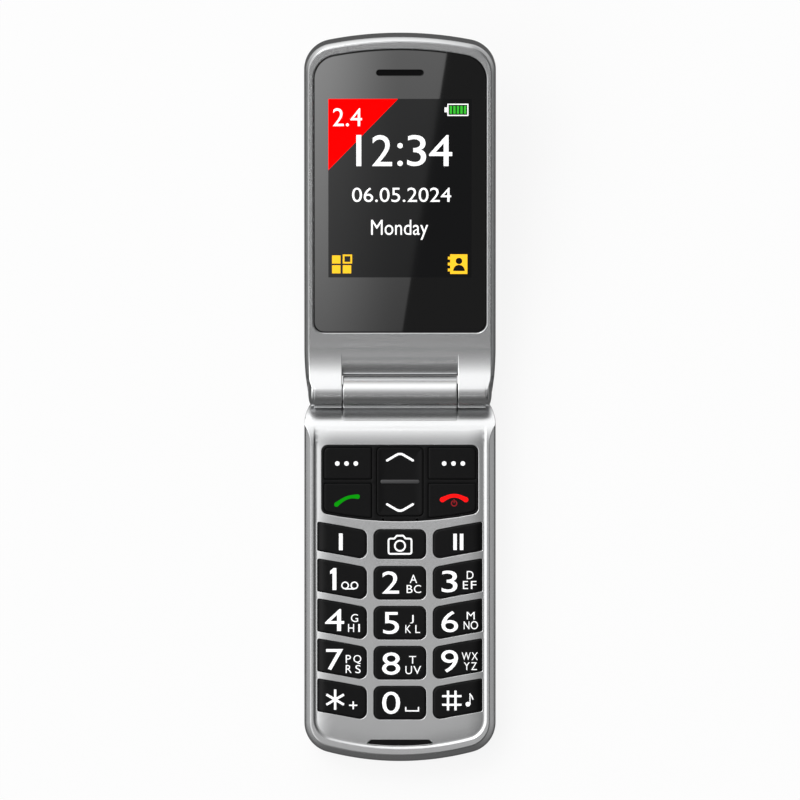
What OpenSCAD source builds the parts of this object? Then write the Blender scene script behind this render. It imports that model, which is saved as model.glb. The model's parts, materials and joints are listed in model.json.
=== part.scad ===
// Flip phone, open and lying on its back: a keypad half (the base) and a
// display half (the flip) that turn on one hinge.
//
// The base is built in (x, v, z): v runs from the hinge axis to the keypad
// end and z is the height above the table. The flip is built in (x, u, w):
// u runs from the hinge axis to the flip's far end and w is the height above
// the axis, square to the display. base_place() and flip_place() set both in
// the part's own frame, whose origin is the centre of the base's back face.

/* [Body] */
// Width of both halves
body_w = 50; // [48:0.5:54]
// Length of the base, from the hinge axis to the keypad end
base_l = 96.5; // [96:0.5:104]
// Length of the flip, from the hinge axis to its far end
flip_l = 95.5; // [95:0.5:103]
// Thickness of the base
base_t = 11; // [10.8:0.1:13]
// Thickness of the flip
flip_t = 9; // [8.8:0.1:11]
// Gap between the two faces when the phone is closed
face_gap = 0.6; // [0.5:0.05:0.9]
// Angle between the two faces when the phone is open, in degrees
open_angle = 165; // [158:1:170]
// Thickness of the plastic walls
wall = 1.2; // [1:0.1:1.5]
// Radius of the four far corners, seen from the front
corner_r = 8; // [6.5:0.5:9.5]
// Radius of the bowed keypad end
base_end_r = 75; // [65:5:120]
// Radius of the bowed far end of the flip
flip_end_r = 94; // [75:1:130]
// Rounding of the edges around the back of each half
back_r = 4.2; // [3:0.1:4.8]
// Width of the rear housing's shoulder around the front plate
shoulder_w = 1.65; // [1.4:0.05:2]

/* [Hinge] */
// Diameter of the barrel and of the two knuckles
barrel_d = 8.4; // [8:0.1:8.8]
// Gap between the barrel's ends and the knuckles
barrel_gap = 0.25; // [0.2:0.05:0.4]
// Length of each knuckle
knuckle_w = 7.25; // [6.5:0.25:7.5]
// Distance from a knuckle's outer end to the side of the phone
cap_side = 2.6; // [2.4:0.1:3]
// Where the faces start to curve, from the hinge axis
roll_start = 13.2; // [12.8:0.1:13.8]
// Slope at which the flip's ramp meets the knuckle, in degrees
ramp_angle = 30.3; // [28:0.1:33]
// Room between the flip's end and the base's end when open
end_gap = 0.3; // [0.2:0.05:0.5]

/* [Display] */
// Rim between the display lens and each side of the flip
lens_side = 2.5; // [2.2:0.1:3.5]
// Start of the lens, from the hinge axis
lens_u = 16; // [15.4:0.2:17]
// Rim between the lens and the far end of the flip
lens_rim = 3.2; // [2.6:0.1:4]
// Thickness of the lens
lens_t = 1; // [0.8:0.1:1.2]
// Border of the lens on each side of the display module
display_side = 1.15; // [0.8:0.05:2]
// Border of the lens between its start and the display module
display_start = 9.5; // [9:0.1:10.5]
// Border of the lens between the display module and its far end
display_end = 10.3; // [10:0.1:12]
// Thickness of the display module
display_t = 2.2; // [1.8:0.1:2.3]
// Length of the earpiece slot
earpiece_w = 12; // [9:0.5:14]

/* [Keypad] */
// Distance from the navigation block to each side of the phone
nav_side = 4.6; // [4.2:0.1:5.5]
// Start of the navigation block, from the hinge axis
nav_v = 13.96; // [13.9:0.02:14.2]
// Length of the navigation block at its middle
nav_l = 19.8; // [19.4:0.1:20]
// Width of the navigation rocker
rocker_w = 12; // [10:0.5:13]
// Distance from the hinge axis to the middle of the first number row
row_v = 49.9; // [49.8:0.1:50.2]
// Distance from the middle of the last number row to the keypad end
pad_end = 15.25; // [15:0.05:16.5]
// Gap between two number rows
row_gap = 2.15; // [1.9:0.05:2.6]
// Height of a key in the function row
fn_key_h = 7.3; // [6.6:0.1:7.5]
// Width of a middle key
key_w = 13.3; // [12:0.1:13.6]
// Distance from the side keys to the side of the phone
key_side = 3.65; // [3.6:0.05:4.6]
// Gap between columns
column_gap = 2.2; // [2:0.1:2.6]
// How far a side key's outer edge is set towards the hinge
key_slant = 2.1; // [1:0.1:2.3]
// How far a key can be pressed
key_travel = 0.35; // [0.25:0.05:0.35]

/* [Battery] */
// Room between the battery and each side of the phone
battery_side = 8; // [8:0.5:10]
// Room between the battery and the keypad end
battery_end = 10; // [10:0.5:14]
// Distance from the battery cover to each side of the phone
cover_side = 5.5; // [5:0.5:6]
// Thickness of the battery cover
cover_t = 1.2; // [1:0.1:1.4]

/* [Hidden] */
$fn = 48;
silver = [0.74, 0.75, 0.76];
silver_dark = [0.62, 0.63, 0.65];
gloss_black = [0.04, 0.04, 0.045];
key_black = [0.11, 0.11, 0.115];
board_green = [0.05, 0.30, 0.18];
tin = [0.80, 0.80, 0.78];
steel = [0.66, 0.67, 0.70];
gold = [0.85, 0.66, 0.28];
rubber_grey = [0.32, 0.33, 0.34];
flex_amber = [0.72, 0.42, 0.10];

// Small clearances
eps = 0.1;          // overshoot of a cut past the face it opens
fit = 0.05;         // between pieces that are fixed to each other
key_gap = 0.15;     // around each key in its opening
seat_gap = 0.1;     // between a seated piece and its seat
run_gap = 0.05;     // radial running clearance in the hinge
weld = 0.02;        // how far a tangent form runs into the round that it meets
slice_t = 0.05;     // thickness of the slices that a rounded back is hulled from
slice_end = 0.3;    // and of the last one

// Frame: hinge axis in the part's frame
half_w = body_w / 2;
face_w = -face_gap / 2;              // both faces, from the hinge axis
hinge_y = base_l / 2;
hinge_z = base_t - face_w;
tilt = 180 - open_angle;             // how far the open flip stands up

// Hinge end: the flip's ramp leaves its face at roll_start and meets the
// knuckle on a tangent at ramp_angle; the base's roll is concentric with it
// when the phone is closed
knuckle_r = barrel_d / 2;
knuckle_gap = 0.4;
ramp_r = (roll_start * sin(ramp_angle) + face_w * cos(ramp_angle) - knuckle_r) / (1 - cos(ramp_angle));
ramp_w = face_w + ramp_r;
roll_r = ramp_r - face_gap;
roll_z = base_t - roll_r;
knuckle_end = half_w - cap_side;
knuckle_x = knuckle_end - knuckle_w;
barrel_x = knuckle_x - barrel_gap;
floor_z = hinge_z - knuckle_r - knuckle_gap;   // top of the base under the knuckles
end_v = end_gap / 2;

// Base: layers from the front plate down
plate_t = 1.3;
plate_z = base_t - plate_t;
flange_t = 0.3;
flange_top = plate_z - 0.15;
flange_z = flange_top - flange_t;
key_top = base_t + 0.45;
nav_top = base_t + 0.2;                // low enough for the tipped rocker under the closed flip
mat_top = flange_z - key_travel - 0.1;
mat_t = 0.2;
mat_z = mat_top - mat_t;
nub_t = 0.1;
dome_h = 0.27;
sheet_t = 0.13;
sheet_z = mat_z - nub_t - 0.03 - dome_h - sheet_t;
board_t = 0.8;
board_top = sheet_z - 0.02;
board_z = board_top - board_t;
deck_t = 0.6;
deck_z = board_z - 0.2 - deck_t;
base_inset = shoulder_w + 0.75;      // inner face of the rear housing's walls
shoulder_z = base_t - 0.6;
groove_inset = shoulder_w + 0.8;     // groove around the keypad's panel
groove_w = 0.7;
groove_depth = 0.45;
channel_z = cover_t + 0.15;          // roof of the battery cover's channel
bay_floor_t = 1;
bay_floor = channel_z + bay_floor_t;

// Base: places along the phone
base_corner_r = 9.5;                 // hinge-end corners, seen from the front
base_corner_v = 8.4;
neck_v = 7.3;                        // where the neck leaves the base's roll
neck_r = 2.5;                        // fillet between neck and barrel
cover_v = 32;                        // hinge-side edge of the battery cover
battery_v = 36.5;                    // hinge-side end of the battery
battery_gap = 0.3;
bay_wall = 1;
battery_w = body_w - 2 * battery_side;
battery_l = base_l - battery_end - battery_v;
cover_w = body_w - 2 * cover_side;
board_v = 15;
board_w = body_w - 8.4;
tongue_w = 24;
tongue_l = 7;
board_end = base_l - 10.5;
boss_r = 1.8;
boss_bore_r = 0.75;
boss_z = 4.2;                        // where the front and rear bosses meet
screw_r = 0.7;
screw_head_r = 1.5;
screw_head_t = 0.9;
rear_boss_r = screw_head_r + 0.75;
boss_x = battery_w / 2 + 0.3;
boss_v = battery_v + battery_l + 3.1;
base_bosses = [
    [half_w - 6.5, 9.8, 0.6], [boss_x, boss_v, channel_z + 0.15],
    [6.5 - half_w, 9.8, 0.6], [-boss_x, boss_v, channel_z + 0.15]];
usb_w = 7.5;
usb_h = 2.8;
usb_l = 5.6;
usb_z = board_z - fit - usb_h;
mic_v = base_l - 4.8;
mic_slot_h = 1.6;
mic_slot_w = [15.2, 17.6];           // at the hinge side and the far side

// Keypad: columns and rows
row_pitch = (base_l - pad_end - row_v) / 3;
key_h = row_pitch - row_gap;
column_x = key_w / 2 + column_gap;   // inner edge of the side keys
key_edge_x = half_w - key_side;
fn_v = row_v - key_h / 2 - 2.32 - fn_key_h / 2;
inner_r = 1.8;
outer_r = 0.4;
rib_w = 1.45;                        // nav rocker to side keys
nav_rim = 0.45;
nav_x = half_w - nav_side;
nav_end_r = 98.5;
nav_bezel_t = 1.05;
nav_bezel_top = base_t - 0.05;
nav_split = nav_v + 8.78;            // lower edge of the soft keys
nav_split_gap = 1.2;
nav_key_in = rocker_w / 2 + rib_w;
nav_key_out = nav_x - nav_rim - key_gap;
rocker_l = 17.86;
rocker_v = nav_v + 0.54;

// Flip: layers below the hinge axis
rim_w = face_w - 0.6;                // top of the outer cover's rim
frame_inset = 1.1;
cover_inset = frame_inset + wall;
lens_top = face_w - 0.15;
ledge_w = lens_top - lens_t - 0.15;
frame_w = ledge_w - 1.4;             // underside of the inner frame
back_w = face_w - flip_t;
cover_in_w = back_w + wall;
display_top = ledge_w - 0.3;
flip_board_top = display_top - display_t - 0.5;
flip_board_w = flip_board_top - board_t;
flip_board_u = lens_u + 1.4;
skin_t = 1.3;
flip_corner_r = 85;
flip_corner_u = 11.4;
flip_tail = -1.6;                    // hinge end of the outer cover
cove_u = roll_start - 3.2;           // where the ramp turns down to the barrel
cove_r = 5.3;
cove_a = asin((roll_start - cove_u) / ramp_r);
cove_at = [cove_u - cove_r * sin(cove_a),
           ramp_w - (ramp_r * cos(cove_a)) - cove_r * cos(cove_a)];
cheek = wall;
lens_w = body_w - 2 * lens_side;
lens_l = flip_l - lens_rim - lens_u;
display_w = lens_w - 2 * display_side;
display_u = lens_u + display_start;
display_l = lens_l - display_start - display_end;
lens_end_r = flip_end_r - lens_rim;
lens_corner_r = 6.5;
earpiece_u = display_u + display_l + 4.05;
earpiece_slot_h = 1.25;
camera_u = flip_l - 22;
camera_r = 3;
camera_window_r = 4.2;
flash_x = 9;
flip_boss = [[half_w - 6, lens_u + 4.6], [half_w - 6, earpiece_u + 1.1],
             [6 - half_w, lens_u + 4.6], [6 - half_w, earpiece_u + 1.1]];

// Hinge internals, along x
case_r = 3;
case_bore_r = 2.65;
shaft_r = 1.2;
head_r = 2;
bush_r = 2.2;
bush_bore_r = 1.6;
case_end = 4.9;
chamber_x = case_end + 1.1;          // the flex chamber in the barrel
case_start = -barrel_x + 0.5;
cam_t = 2.4;
cam_x = case_start + 1;
follower_x = cam_x + cam_t + seat_gap;
follower_t = 2;
spring_x = follower_x + follower_t + seat_gap;
spring_r = 2;
spring_wire_r = 0.35;
spring_turns = 6;
spring_l = case_end - 0.8 - spring_x - 0.2;
flex_t = 0.2;
flex_w = 2.2;

// ---- points and outlines ----

function unit(p) = p / norm(p);

// Arc points around c from angle a0 to a1, n steps
function arc(c, r, a0, a1, n = 6) =
    [for (i = [0:n]) let (a = a0 + (a1 - a0) * i / n) c + r * [cos(a), sin(a)]];

// One rounded corner of a polygon
function corner(before, at, after, r, n = 5) =
    r == 0 ? [at] :
    let (a = unit(before - at), b = unit(after - at), half = acos(a * b) / 2,
         c = at + unit(a + b) * r / sin(half), p = at + a * r / tan(half) - c,
         s = -sign(cross(a, b)))
    [for (i = [0:n]) let (t = s * i / n * (180 - 2 * half))
        c + [p.x * cos(t) - p.y * sin(t), p.x * sin(t) + p.y * cos(t)]];

// Polygon with one corner radius for each point
function rounded(points, radii) =
    let (n = len(points))
    [for (i = [0:n - 1]) each corner(points[(i + n - 1) % n], points[i], points[(i + 1) % n], radii[i])];

// Far end of a half: two corners and a bowed end, from the right side to the left
function far_end(half, l, end_r, r, inset) =
    let (low = l - end_r,
         c = [half - r, low + sqrt(pow(end_r - r, 2) - pow(half - r, 2))],
         a = atan2(c.y - low, c.x))
    concat(arc(c, r - inset, 0, a, 8),
           arc([0, low], end_r - inset, a, 180 - a, 12),
           arc([-c.x, c.y], r - inset, 180 - a, 180, 8));

// Hinge end of a half: its sides curve in towards the axis, left to right
function near_end(half, r, start, end, inset) =
    let (a = asin(min(1, (start - end - inset) / (r - inset))))
    concat(arc([r - half, start], r - inset, 180, 180 + a, 5),
           arc([half - r, start], r - inset, -a, 0, 5));

function base_outline(inset, end = end_v) =
    concat(far_end(half_w, base_l, base_end_r, corner_r, inset),
           near_end(half_w, base_corner_r, base_corner_v, end, inset));

function flip_outline(inset, end = flip_tail) =
    concat(far_end(half_w, flip_l, flip_end_r, corner_r, inset),
           near_end(half_w, flip_corner_r, flip_corner_u, end, inset));

function lens_outline(grow = 0) =
    concat(far_end(lens_w / 2, lens_u + lens_l, lens_end_r, lens_corner_r, -grow),
           corner([-lens_w / 2 - grow, lens_u + 9], [-lens_w / 2 - grow, lens_u - grow], [0, lens_u - grow], 2.7),
           corner([0, lens_u - grow], [lens_w / 2 + grow, lens_u - grow], [lens_w / 2 + grow, lens_u + 9], 2.7));

// Lower edge of the navigation block: a shallow arc
function nav_end(x, inset = 0) = nav_v + nav_l - inset - nav_end_r + sqrt(pow(nav_end_r, 2) - x * x);

function nav_outline(inset = 0) =
    let (x = nav_x - inset)
    rounded(concat([[-x, nav_v + inset], [x, nav_v + inset]],
                   [for (i = [4:-1:-4]) [x * i / 4, nav_end(x * i / 4, inset)]]),
            [1.6, 1.6, 1.6, 0, 0, 0, 0, 0, 0, 0, 1.6]);

// A side key of the navigation block between v0 and v1, on the side s;
// its lower edge follows the block where ends is true
function nav_key(s, v0, v1, ends, r, grow = 0) =
    let (a = nav_key_in - grow, b = nav_key_out + grow,
         low = function(x) ends ? nav_end(x, nav_rim + key_gap - grow) : v1 + grow,
         p = [[a, v0 - grow], [b, v0 - grow], [b, low(b)], [(a + b) / 2, low((a + b) / 2)], [a, low(a)]])
    [for (q = rounded(p, r)) [s * q.x, q.y]];

function rocker_outline(grow = 0) =
    let (x = rocker_w / 2 + grow, v0 = rocker_v - grow, v1 = rocker_v + rocker_l + grow)
    rounded([[-x, v0], [x, v0], [x, v1], [-x, v1]], [1.2, 1.2, 1.2, 1.2]);

// A key of the middle column, and one of the sides s: its two cross edges
// bow down from the outer edge to the inner one
function mid_key(v, h, grow = 0) =
    let (x = key_w / 2 + grow, d = h / 2 + grow)
    rounded([[-x, v - d], [x, v - d], [x, v + d], [-x, v + d]], [1.7, 1.7, 1.7, 1.7]);

function side_key(s, v, h, grow = 0) =
    let (a = column_x - grow, b = key_edge_x + grow, m = (a + b) / 2, d = h / 2 + grow,
         bow = key_slant * 0.58,
         p = [[a, v - d + 0.3], [m, v - d - bow + 0.3], [b, v - d - key_slant + 0.1],
              [b, v + d - key_slant - 0.05], [m, v + d - bow + 0.2], [a, v + d + 0.2]])
    [for (q = rounded(p, [inner_r, 0, outer_r, outer_r, 0, inner_r])) [s * q.x, q.y]];

// Every key of the pad: column (-1, 0, 1), row middle and height
fn_keys = [for (c = [-1:1]) [c, fn_v, fn_key_h]];
number_keys = [for (i = [0:11]) [i % 3 - 1, row_v + floor(i / 3) * row_pitch, key_h]];
function key_outline(k, grow = 0) = k[0] == 0 ? mid_key(k[1], k[2], grow) : side_key(k[0], k[1], k[2], grow);

// Where the rubber mat presses each dome: keypad, then navigation block
side_mid = (column_x + key_edge_x) / 2;
nav_mid = (nav_key_in + nav_key_out) / 2;
domes = concat(
    [for (k = concat(fn_keys, number_keys)) [k[0] * side_mid, k[1] - abs(k[0]) * key_slant / 2]],
    [for (s = [-1, 1], v = [nav_v + 4.5, nav_split + 5]) [s * nav_mid, v]],
    [for (v = [rocker_v + 3, rocker_v + rocker_l - 3]) [0, v]]);

// ---- placing and shaping ----

module base_place() translate([0, hinge_y, 0]) mirror([0, 1, 0]) children();
module flip_place() translate([0, hinge_y, hinge_z]) rotate([tilt, 0, 0]) children();
// Inside flip_place(): the axes of the part's frame, at the hinge axis
module upright() rotate([-tilt, 0, 0]) children();
// A 2D profile in (v, z) or (u, w), carried across the phone from x0 to x1
module across(x0, x1) translate([x0, 0, 0]) rotate([90, 0, 90]) linear_extrude(x1 - x0) children();
module axle(r, x0, x1) translate([x0, 0, 0]) rotate([0, 90, 0]) cylinder(r = r, h = x1 - x0);
module tube_x(r, bore_r, x0, x1) difference() {
    axle(r, x0, x1);
    axle(bore_r, x0 - eps, x1 + eps);
}
module on_axis() translate([0, 0, hinge_z]) children();
module both_sides() {
    children();
    mirror([1, 0, 0]) children();
}
// Cube by its lowest and highest corners
module block(low, high) translate(low) cube(high - low);
module plate(points, z0, z1) translate([0, 0, z0]) linear_extrude(z1 - z0) polygon(points);
module post(at, r, z0, z1) translate([at.x, at.y, z0]) cylinder(r = r, h = z1 - z0);

// ---- base ----

// Section of the roll at the base's hinge end, at a depth below the face
function roll_end(depth, z) = 180 - asin((z - roll_z) / (roll_r - depth));
function roll_arc(depth, z) = arc([roll_start, roll_z], roll_r - depth, roll_end(depth, z), 90, 12);

// Everything above the surface that lies at a depth below the front face
module above_face(depth) across(-half_w - 1, half_w + 1)
    polygon(concat([[-1, floor_z - depth]], roll_arc(depth, floor_z - depth),
                   [[base_l + 1, base_t - depth], [base_l + 1, base_t + 9], [-1, base_t + 9]]));

// Outer form of the base, up to the rear housing's shoulder: a hull around
// the rounded back, then straight sides and a stepped shoulder
module base_slab() {
    hull() for (t = [0:22.5:90]) let (z = back_r * (1 - cos(t)))
        plate(base_outline(back_r * (1 - sin(t))), z, z + (t < 90 ? slice_t : slice_end));
    plate(base_outline(0), back_r + slice_end, shoulder_z - 0.5);
    plate(base_outline(0.5), shoulder_z - 0.5, shoulder_z);
}

// The front plate seen from the front: inside the shoulder, and out to the
// full width at the hinge corners. A cut for it takes in all of the corners.
corner_run = [base_corner_v + 0.2, roll_start + 1.2];
corner_reach = corner_run[1] - corner_run[0];
corner_sweep_r = (pow(shoulder_w, 2) + pow(corner_reach, 2)) / (2 * shoulder_w);
function corner_sweep(s, over) =
    let (a = acos((corner_sweep_r - shoulder_w - over) / corner_sweep_r),
         c = [s * (half_w - shoulder_w + corner_sweep_r), corner_run[1]])
    s > 0 ? arc(c, corner_sweep_r, 180 + a, 180, 6) : arc(c, corner_sweep_r, 0, -a, 6);
front_far = far_end(half_w, base_l, base_end_r, corner_r, shoulder_w);
front_outline = concat(front_far, corner_sweep(-1, 0),
                       near_end(half_w, base_corner_r, base_corner_v, end_v, 0), corner_sweep(1, 0));
front_cut_outline = concat(front_far, corner_sweep(-1, 1),
                           [[-half_w - 1, -1], [half_w + 1, -1]], corner_sweep(1, 1));

// Neck and barrel that carry the flip, in section
neck_w = roll_z - hinge_z + sqrt(pow(roll_r, 2) - pow(roll_start - neck_v, 2));
neck_at = [sqrt(pow(knuckle_r + neck_r, 2) - pow(neck_w + neck_r, 2)), neck_w + neck_r];
module neck_section() polygon(concat(
    [[end_v, floor_z - plate_t - hinge_z], [neck_v + 0.8, floor_z - plate_t - hinge_z],
     [neck_v + 0.8, neck_w - 0.2], [neck_v, neck_w]],
    arc(neck_at, neck_r, 270, 180 + atan2(neck_at.y, neck_at.x), 8),
    [[end_v, 0]]));

module key_openings() for (k = concat(fn_keys, number_keys))
    plate(key_outline(k, key_gap), plate_z - eps, base_t + eps);

module mic_slot(grow, z0, z1) {
    a = mic_slot_w[0] / 2 + grow;
    b = mic_slot_w[1] / 2 + grow;
    plate([[-a, mic_v - mic_slot_h / 2 - grow], [a, mic_v - mic_slot_h / 2 - grow],
           [b, mic_v + mic_slot_h / 2 + grow], [-b, mic_v + mic_slot_h / 2 + grow]], z0, z1);
}

module base_front_housing() color(silver) base_place() difference() {
    union() {
        difference() {
            intersection() {
                plate(front_outline, -eps, base_t + eps);
                above_face(plate_t);
            }
            above_face(0);
            translate([0, 0, base_t - groove_depth]) linear_extrude(1) difference() {
                polygon(base_outline(groove_inset));
                polygon(base_outline(groove_inset + groove_w));
            }
        }
        on_axis() {
            axle(knuckle_r, -barrel_x, barrel_x);
            across(-barrel_x, barrel_x) neck_section();
        }
        for (b = base_bosses) post(b, boss_r, boss_z, plate_z - (b.y < roll_start ? 0.4 : 0) + fit);
    }
    key_openings();
    plate(nav_outline(-fit), plate_z - eps, base_t + eps);
    mic_slot(fit, plate_z - eps, base_t + eps);
    for (b = base_bosses) post(b, boss_bore_r, boss_z - eps, plate_z - 1);
    on_axis() {
        axle(case_r + run_gap, -barrel_x - eps, case_end + seat_gap);
        axle(bush_r + run_gap, chamber_x, barrel_x + eps);
    }
    block([chamber_x + 0.2, 1.5, floor_z - plate_t - eps],
          [chamber_x + 0.6 + flex_w + 0.4, 2.3, hinge_z - 0.6]);
}

// Room inside the base, above the floor
module base_room() intersection() {
    plate(base_outline(base_inset, end_v + wall - base_inset), wall, base_t);
    union() {
        block([-half_w, end_v + wall, 0], [half_w, cover_v - 1.5, base_t]);
        block([-half_w, end_v + wall, bay_floor], [half_w, base_l, base_t]);
    }
}

bay_x = battery_w / 2 + battery_gap;
bay_v = [battery_v - battery_gap, battery_v + battery_l + battery_gap];
module battery_bay(grow, z0, z1)
    block([-bay_x - grow, bay_v[0] - grow, z0], [bay_x + grow, bay_v[1] + grow, z1]);

sim_w = 15;
sim_l = 17;
sim_v = battery_v + 10;
sim_t = 1.1;

rail_w = 0.8;
rail_z = [0.45, 0.85];
rail_gap = 0.12;
module cover_rail(grow) block([-cover_w / 2 - rail_w - grow, cover_v + 2 - grow, rail_z[0] - grow],
                              [cover_w / 2 + rail_w + grow, base_l + 1, rail_z[1] + grow]);

speaker_at = [-10, 22.5];
speaker_w = 15;
speaker_l = 11;
speaker_z = wall + 0.5;
speaker_t = 3.2;
module speaker_seat(grow, z0, z1)
    block([speaker_at.x - speaker_w / 2 - grow, speaker_at.y - speaker_l / 2 - grow, z0],
          [speaker_at.x + speaker_w / 2 + grow, speaker_at.y + speaker_l / 2 + grow, z1]);

module base_rear_housing() color(silver_dark) base_place() difference() {
    union() {
        difference() {
            base_slab();
            above_face(0.35);
            intersection() {
                plate(front_cut_outline, -eps, base_t + eps);
                above_face(plate_t);
            }
            base_room();
            battery_bay(0, -eps, base_t);
            block([-cover_w / 2 - 0.15, cover_v - 0.15, -eps], [cover_w / 2 + 0.15, base_l + 1, channel_z]);
            cover_rail(rail_gap);
        }
        difference() {
            battery_bay(bay_wall, channel_z, deck_z + deck_t);
            battery_bay(0, channel_z - eps, deck_z);
            block([-sim_w / 2 - 0.2, sim_v - 0.2, deck_z - eps],
                  [sim_w / 2 + 0.2, sim_v + sim_l + 0.2, board_z]);
            block([-6.2, bay_v[0] - bay_wall - eps, bay_floor + 0.2], [6.2, bay_v[0] + eps, deck_z + deck_t + eps]);
        }
        difference() {
            speaker_seat(1, wall - fit, speaker_z + 2);
            speaker_seat(0.1, wall - eps, base_t);
        }
        for (b = base_bosses) post(b, rear_boss_r, b.z + 0.4, boss_z - fit);
    }
    for (b = base_bosses) {
        post(b, screw_r + 0.15, -eps, boss_z + eps);
        post(b, screw_head_r + 0.15, -eps, b.z + screw_head_t + seat_gap);
    }
    for (i = [-3:3]) post([speaker_at.x + i * 1.5, speaker_at.y], 0.45, -eps, speaker_z);
    block([-usb_w / 2 - 0.1, base_l - 5, usb_z - 0.1], [usb_w / 2 + 0.1, base_l + 1, usb_z + usb_h + 0.1]);
}

module nav_bezel() color(gloss_black) base_place() difference() {
    plate(nav_outline(0), nav_bezel_top - nav_bezel_t, nav_bezel_top);
    for (s = [-1, 1]) {
        plate(soft_outline(s, key_gap), base_t - 2, base_t + eps);
        plate(lower_outline(s, key_gap), base_t - 2, base_t + eps);
    }
    plate(rocker_outline(key_gap), base_t - 2, base_t + eps);
}

function soft_outline(s, grow = 0) =
    nav_key(s, nav_v + nav_rim + key_gap, nav_split, false, [0.4, 1.3, 0.4, 0, 0.4], grow);
function lower_outline(s, grow = 0) =
    nav_key(s, nav_split + nav_split_gap, nav_v + nav_l, true, [0.4, 0.4, 1.3, 0, 0.4], grow);

// A key: a cap that stands through its opening, on a flange that keeps it in
module key_cap(outline, flange, top) color(key_black) base_place() {
    plate(outline, flange_z, top);
    plate(flange, flange_z, flange_top);
}
module pad_key(k) key_cap(key_outline(k), key_outline(k, 0.55), key_top);
module soft_key(s) key_cap(soft_outline(s), soft_outline(s, 0.5), nav_top);
module lower_key(s) key_cap(lower_outline(s), lower_outline(s, 0.5), nav_top);
module nav_rocker() color(key_black) base_place() {
    plate(rocker_outline(), flange_z, nav_top);
    plate(rocker_outline(0.45), flange_z, flange_z + 0.25);
    block([-5, rocker_v + rocker_l / 2 - 0.45, nav_top - fit], [5, rocker_v + rocker_l / 2 + 0.45, nav_top + 0.15]);
}

module pad_sheet(z0, z1, x) plate(rounded(
    [[-x, board_v - 0.6], [x, board_v - 0.6], [x, board_end - 0.4], [-x, board_end - 0.4]], [1, 1, 1, 1]), z0, z1);

module keypad_mat() color(rubber_grey) base_place() {
    pad_sheet(mat_z, mat_top, board_w / 2 - 0.2);
    for (d = domes) post(d, 0.9, mat_z - nub_t, mat_z + fit);
}

module dome_sheet() color(tin) base_place() {
    pad_sheet(sheet_z, sheet_z + sheet_t, board_w / 2 - 0.4);
    for (d = domes) translate([d.x, d.y, sheet_z + sheet_t - 0.01]) cylinder(r1 = 2, r2 = 0.9, h = dome_h);
}

module main_board() color(board_green) base_place()
    plate([[-board_w / 2, board_v], [board_w / 2, board_v], [board_w / 2, board_end],
           [tongue_w / 2, board_end], [tongue_w / 2, board_end + tongue_l],
           [-tongue_w / 2, board_end + tongue_l], [-tongue_w / 2, board_end],
           [-board_w / 2, board_end]], board_z, board_top);

module shield_can(low, high) difference() {
    block([low.x, low.y, board_z - fit - 1.5], [high.x, high.y, board_z - fit]);
    block([low.x + 0.3, low.y + 0.3, board_z - fit - 1.2], [high.x - 0.3, high.y - 0.3, board_z]);
}
module board_shields() color(tin) base_place() {
    edge = board_w / 2 - 1.3;
    shield_can([2.5, board_v + 1.5], [edge, battery_v - 4.8]);
    shield_can([-edge, speaker_at.y + speaker_l / 2 + 1.2], [-8, battery_v - 2]);
}

module sim_holder() color(tin) base_place() difference() {
    block([-sim_w / 2, sim_v, board_z - fit - sim_t], [sim_w / 2, sim_v + sim_l, board_z - fit]);
    block([-sim_w / 2 + 1, sim_v + 1, board_z - fit - sim_t - eps],
          [sim_w / 2 - 1, sim_v + sim_l + eps, board_z - fit - 0.35]);
}

battery_z = cover_t + 0.3;
battery_top = board_z - fit - sim_t - 0.15;
module battery() color(rubber_grey) base_place()
    across(-battery_w / 2, battery_w / 2) polygon(rounded(
        [[battery_v, battery_z], [battery_v + battery_l, battery_z],
         [battery_v + battery_l, battery_top], [battery_v, battery_top]], [0.8, 0.8, 0.8, 0.8]));

module battery_contacts() color(gold) base_place() {
    block([-6, bay_v[0] - 3.4, bay_floor + 0.3], [6, bay_v[0] - 0.1, board_z - fit]);
    for (x = [-4, 0, 4]) block([x - 0.6, bay_v[0] - 0.3, bay_floor + 1], [x + 0.6, battery_v - fit, bay_floor + 2]);
}

module loudspeaker() color(gloss_black) base_place() difference() {
    speaker_seat(0, speaker_z, speaker_z + speaker_t);
    translate([0, 0, -1]) speaker_seat(-1.2, 0, speaker_z + 1.5);
}

module speaker_mesh() color(steel) base_place()
    block([speaker_at.x - 6, speaker_at.y - 2, wall + fit], [speaker_at.x + 6, speaker_at.y + 2, wall + 0.35]);

module microphone() color(rubber_grey) base_place()
    post([0, mic_v], 2, board_top + fit, plate_z - 0.1);

module mic_slot_insert() color(gloss_black) base_place() mic_slot(0, plate_z, base_t - 0.25);

module usb_socket() color(steel) base_place() difference() {
    block([-usb_w / 2, base_l - 0.5 - usb_l, usb_z], [usb_w / 2, base_l - 0.5, usb_z + usb_h]);
    block([-usb_w / 2 + 0.35, base_l - 0.5 - usb_l + 0.5, usb_z + 0.35],
          [usb_w / 2 - 0.35, base_l, usb_z + usb_h - 1.2]);
    block([-usb_w / 2 + 0.35, base_l - 0.5 - usb_l + 0.5, usb_z + usb_h - 0.6],
          [usb_w / 2 - 0.35, base_l, usb_z + usb_h - 0.35]);
}

module antenna() color(gold) base_place() difference() {
    low = -boss_x + rear_boss_r + 0.45;
    high = -usb_w / 2 - 0.85;
    block([low, bay_v[1] + bay_wall + 0.2, bay_floor + fit], [high, base_l - 4.5, board_z - fit]);
    block([low + 1, bay_v[1], bay_floor - eps], [high - 1, base_l - 5.5, board_z - 1]);
}

module screw(at, z, length) {
    post(at, screw_head_r, z, z + screw_head_t);
    post(at, screw_r, z + screw_head_t - eps, z + length);
}
module base_screws() color(steel) base_place() for (b = base_bosses) screw(b, b.z, 6.2);

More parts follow.
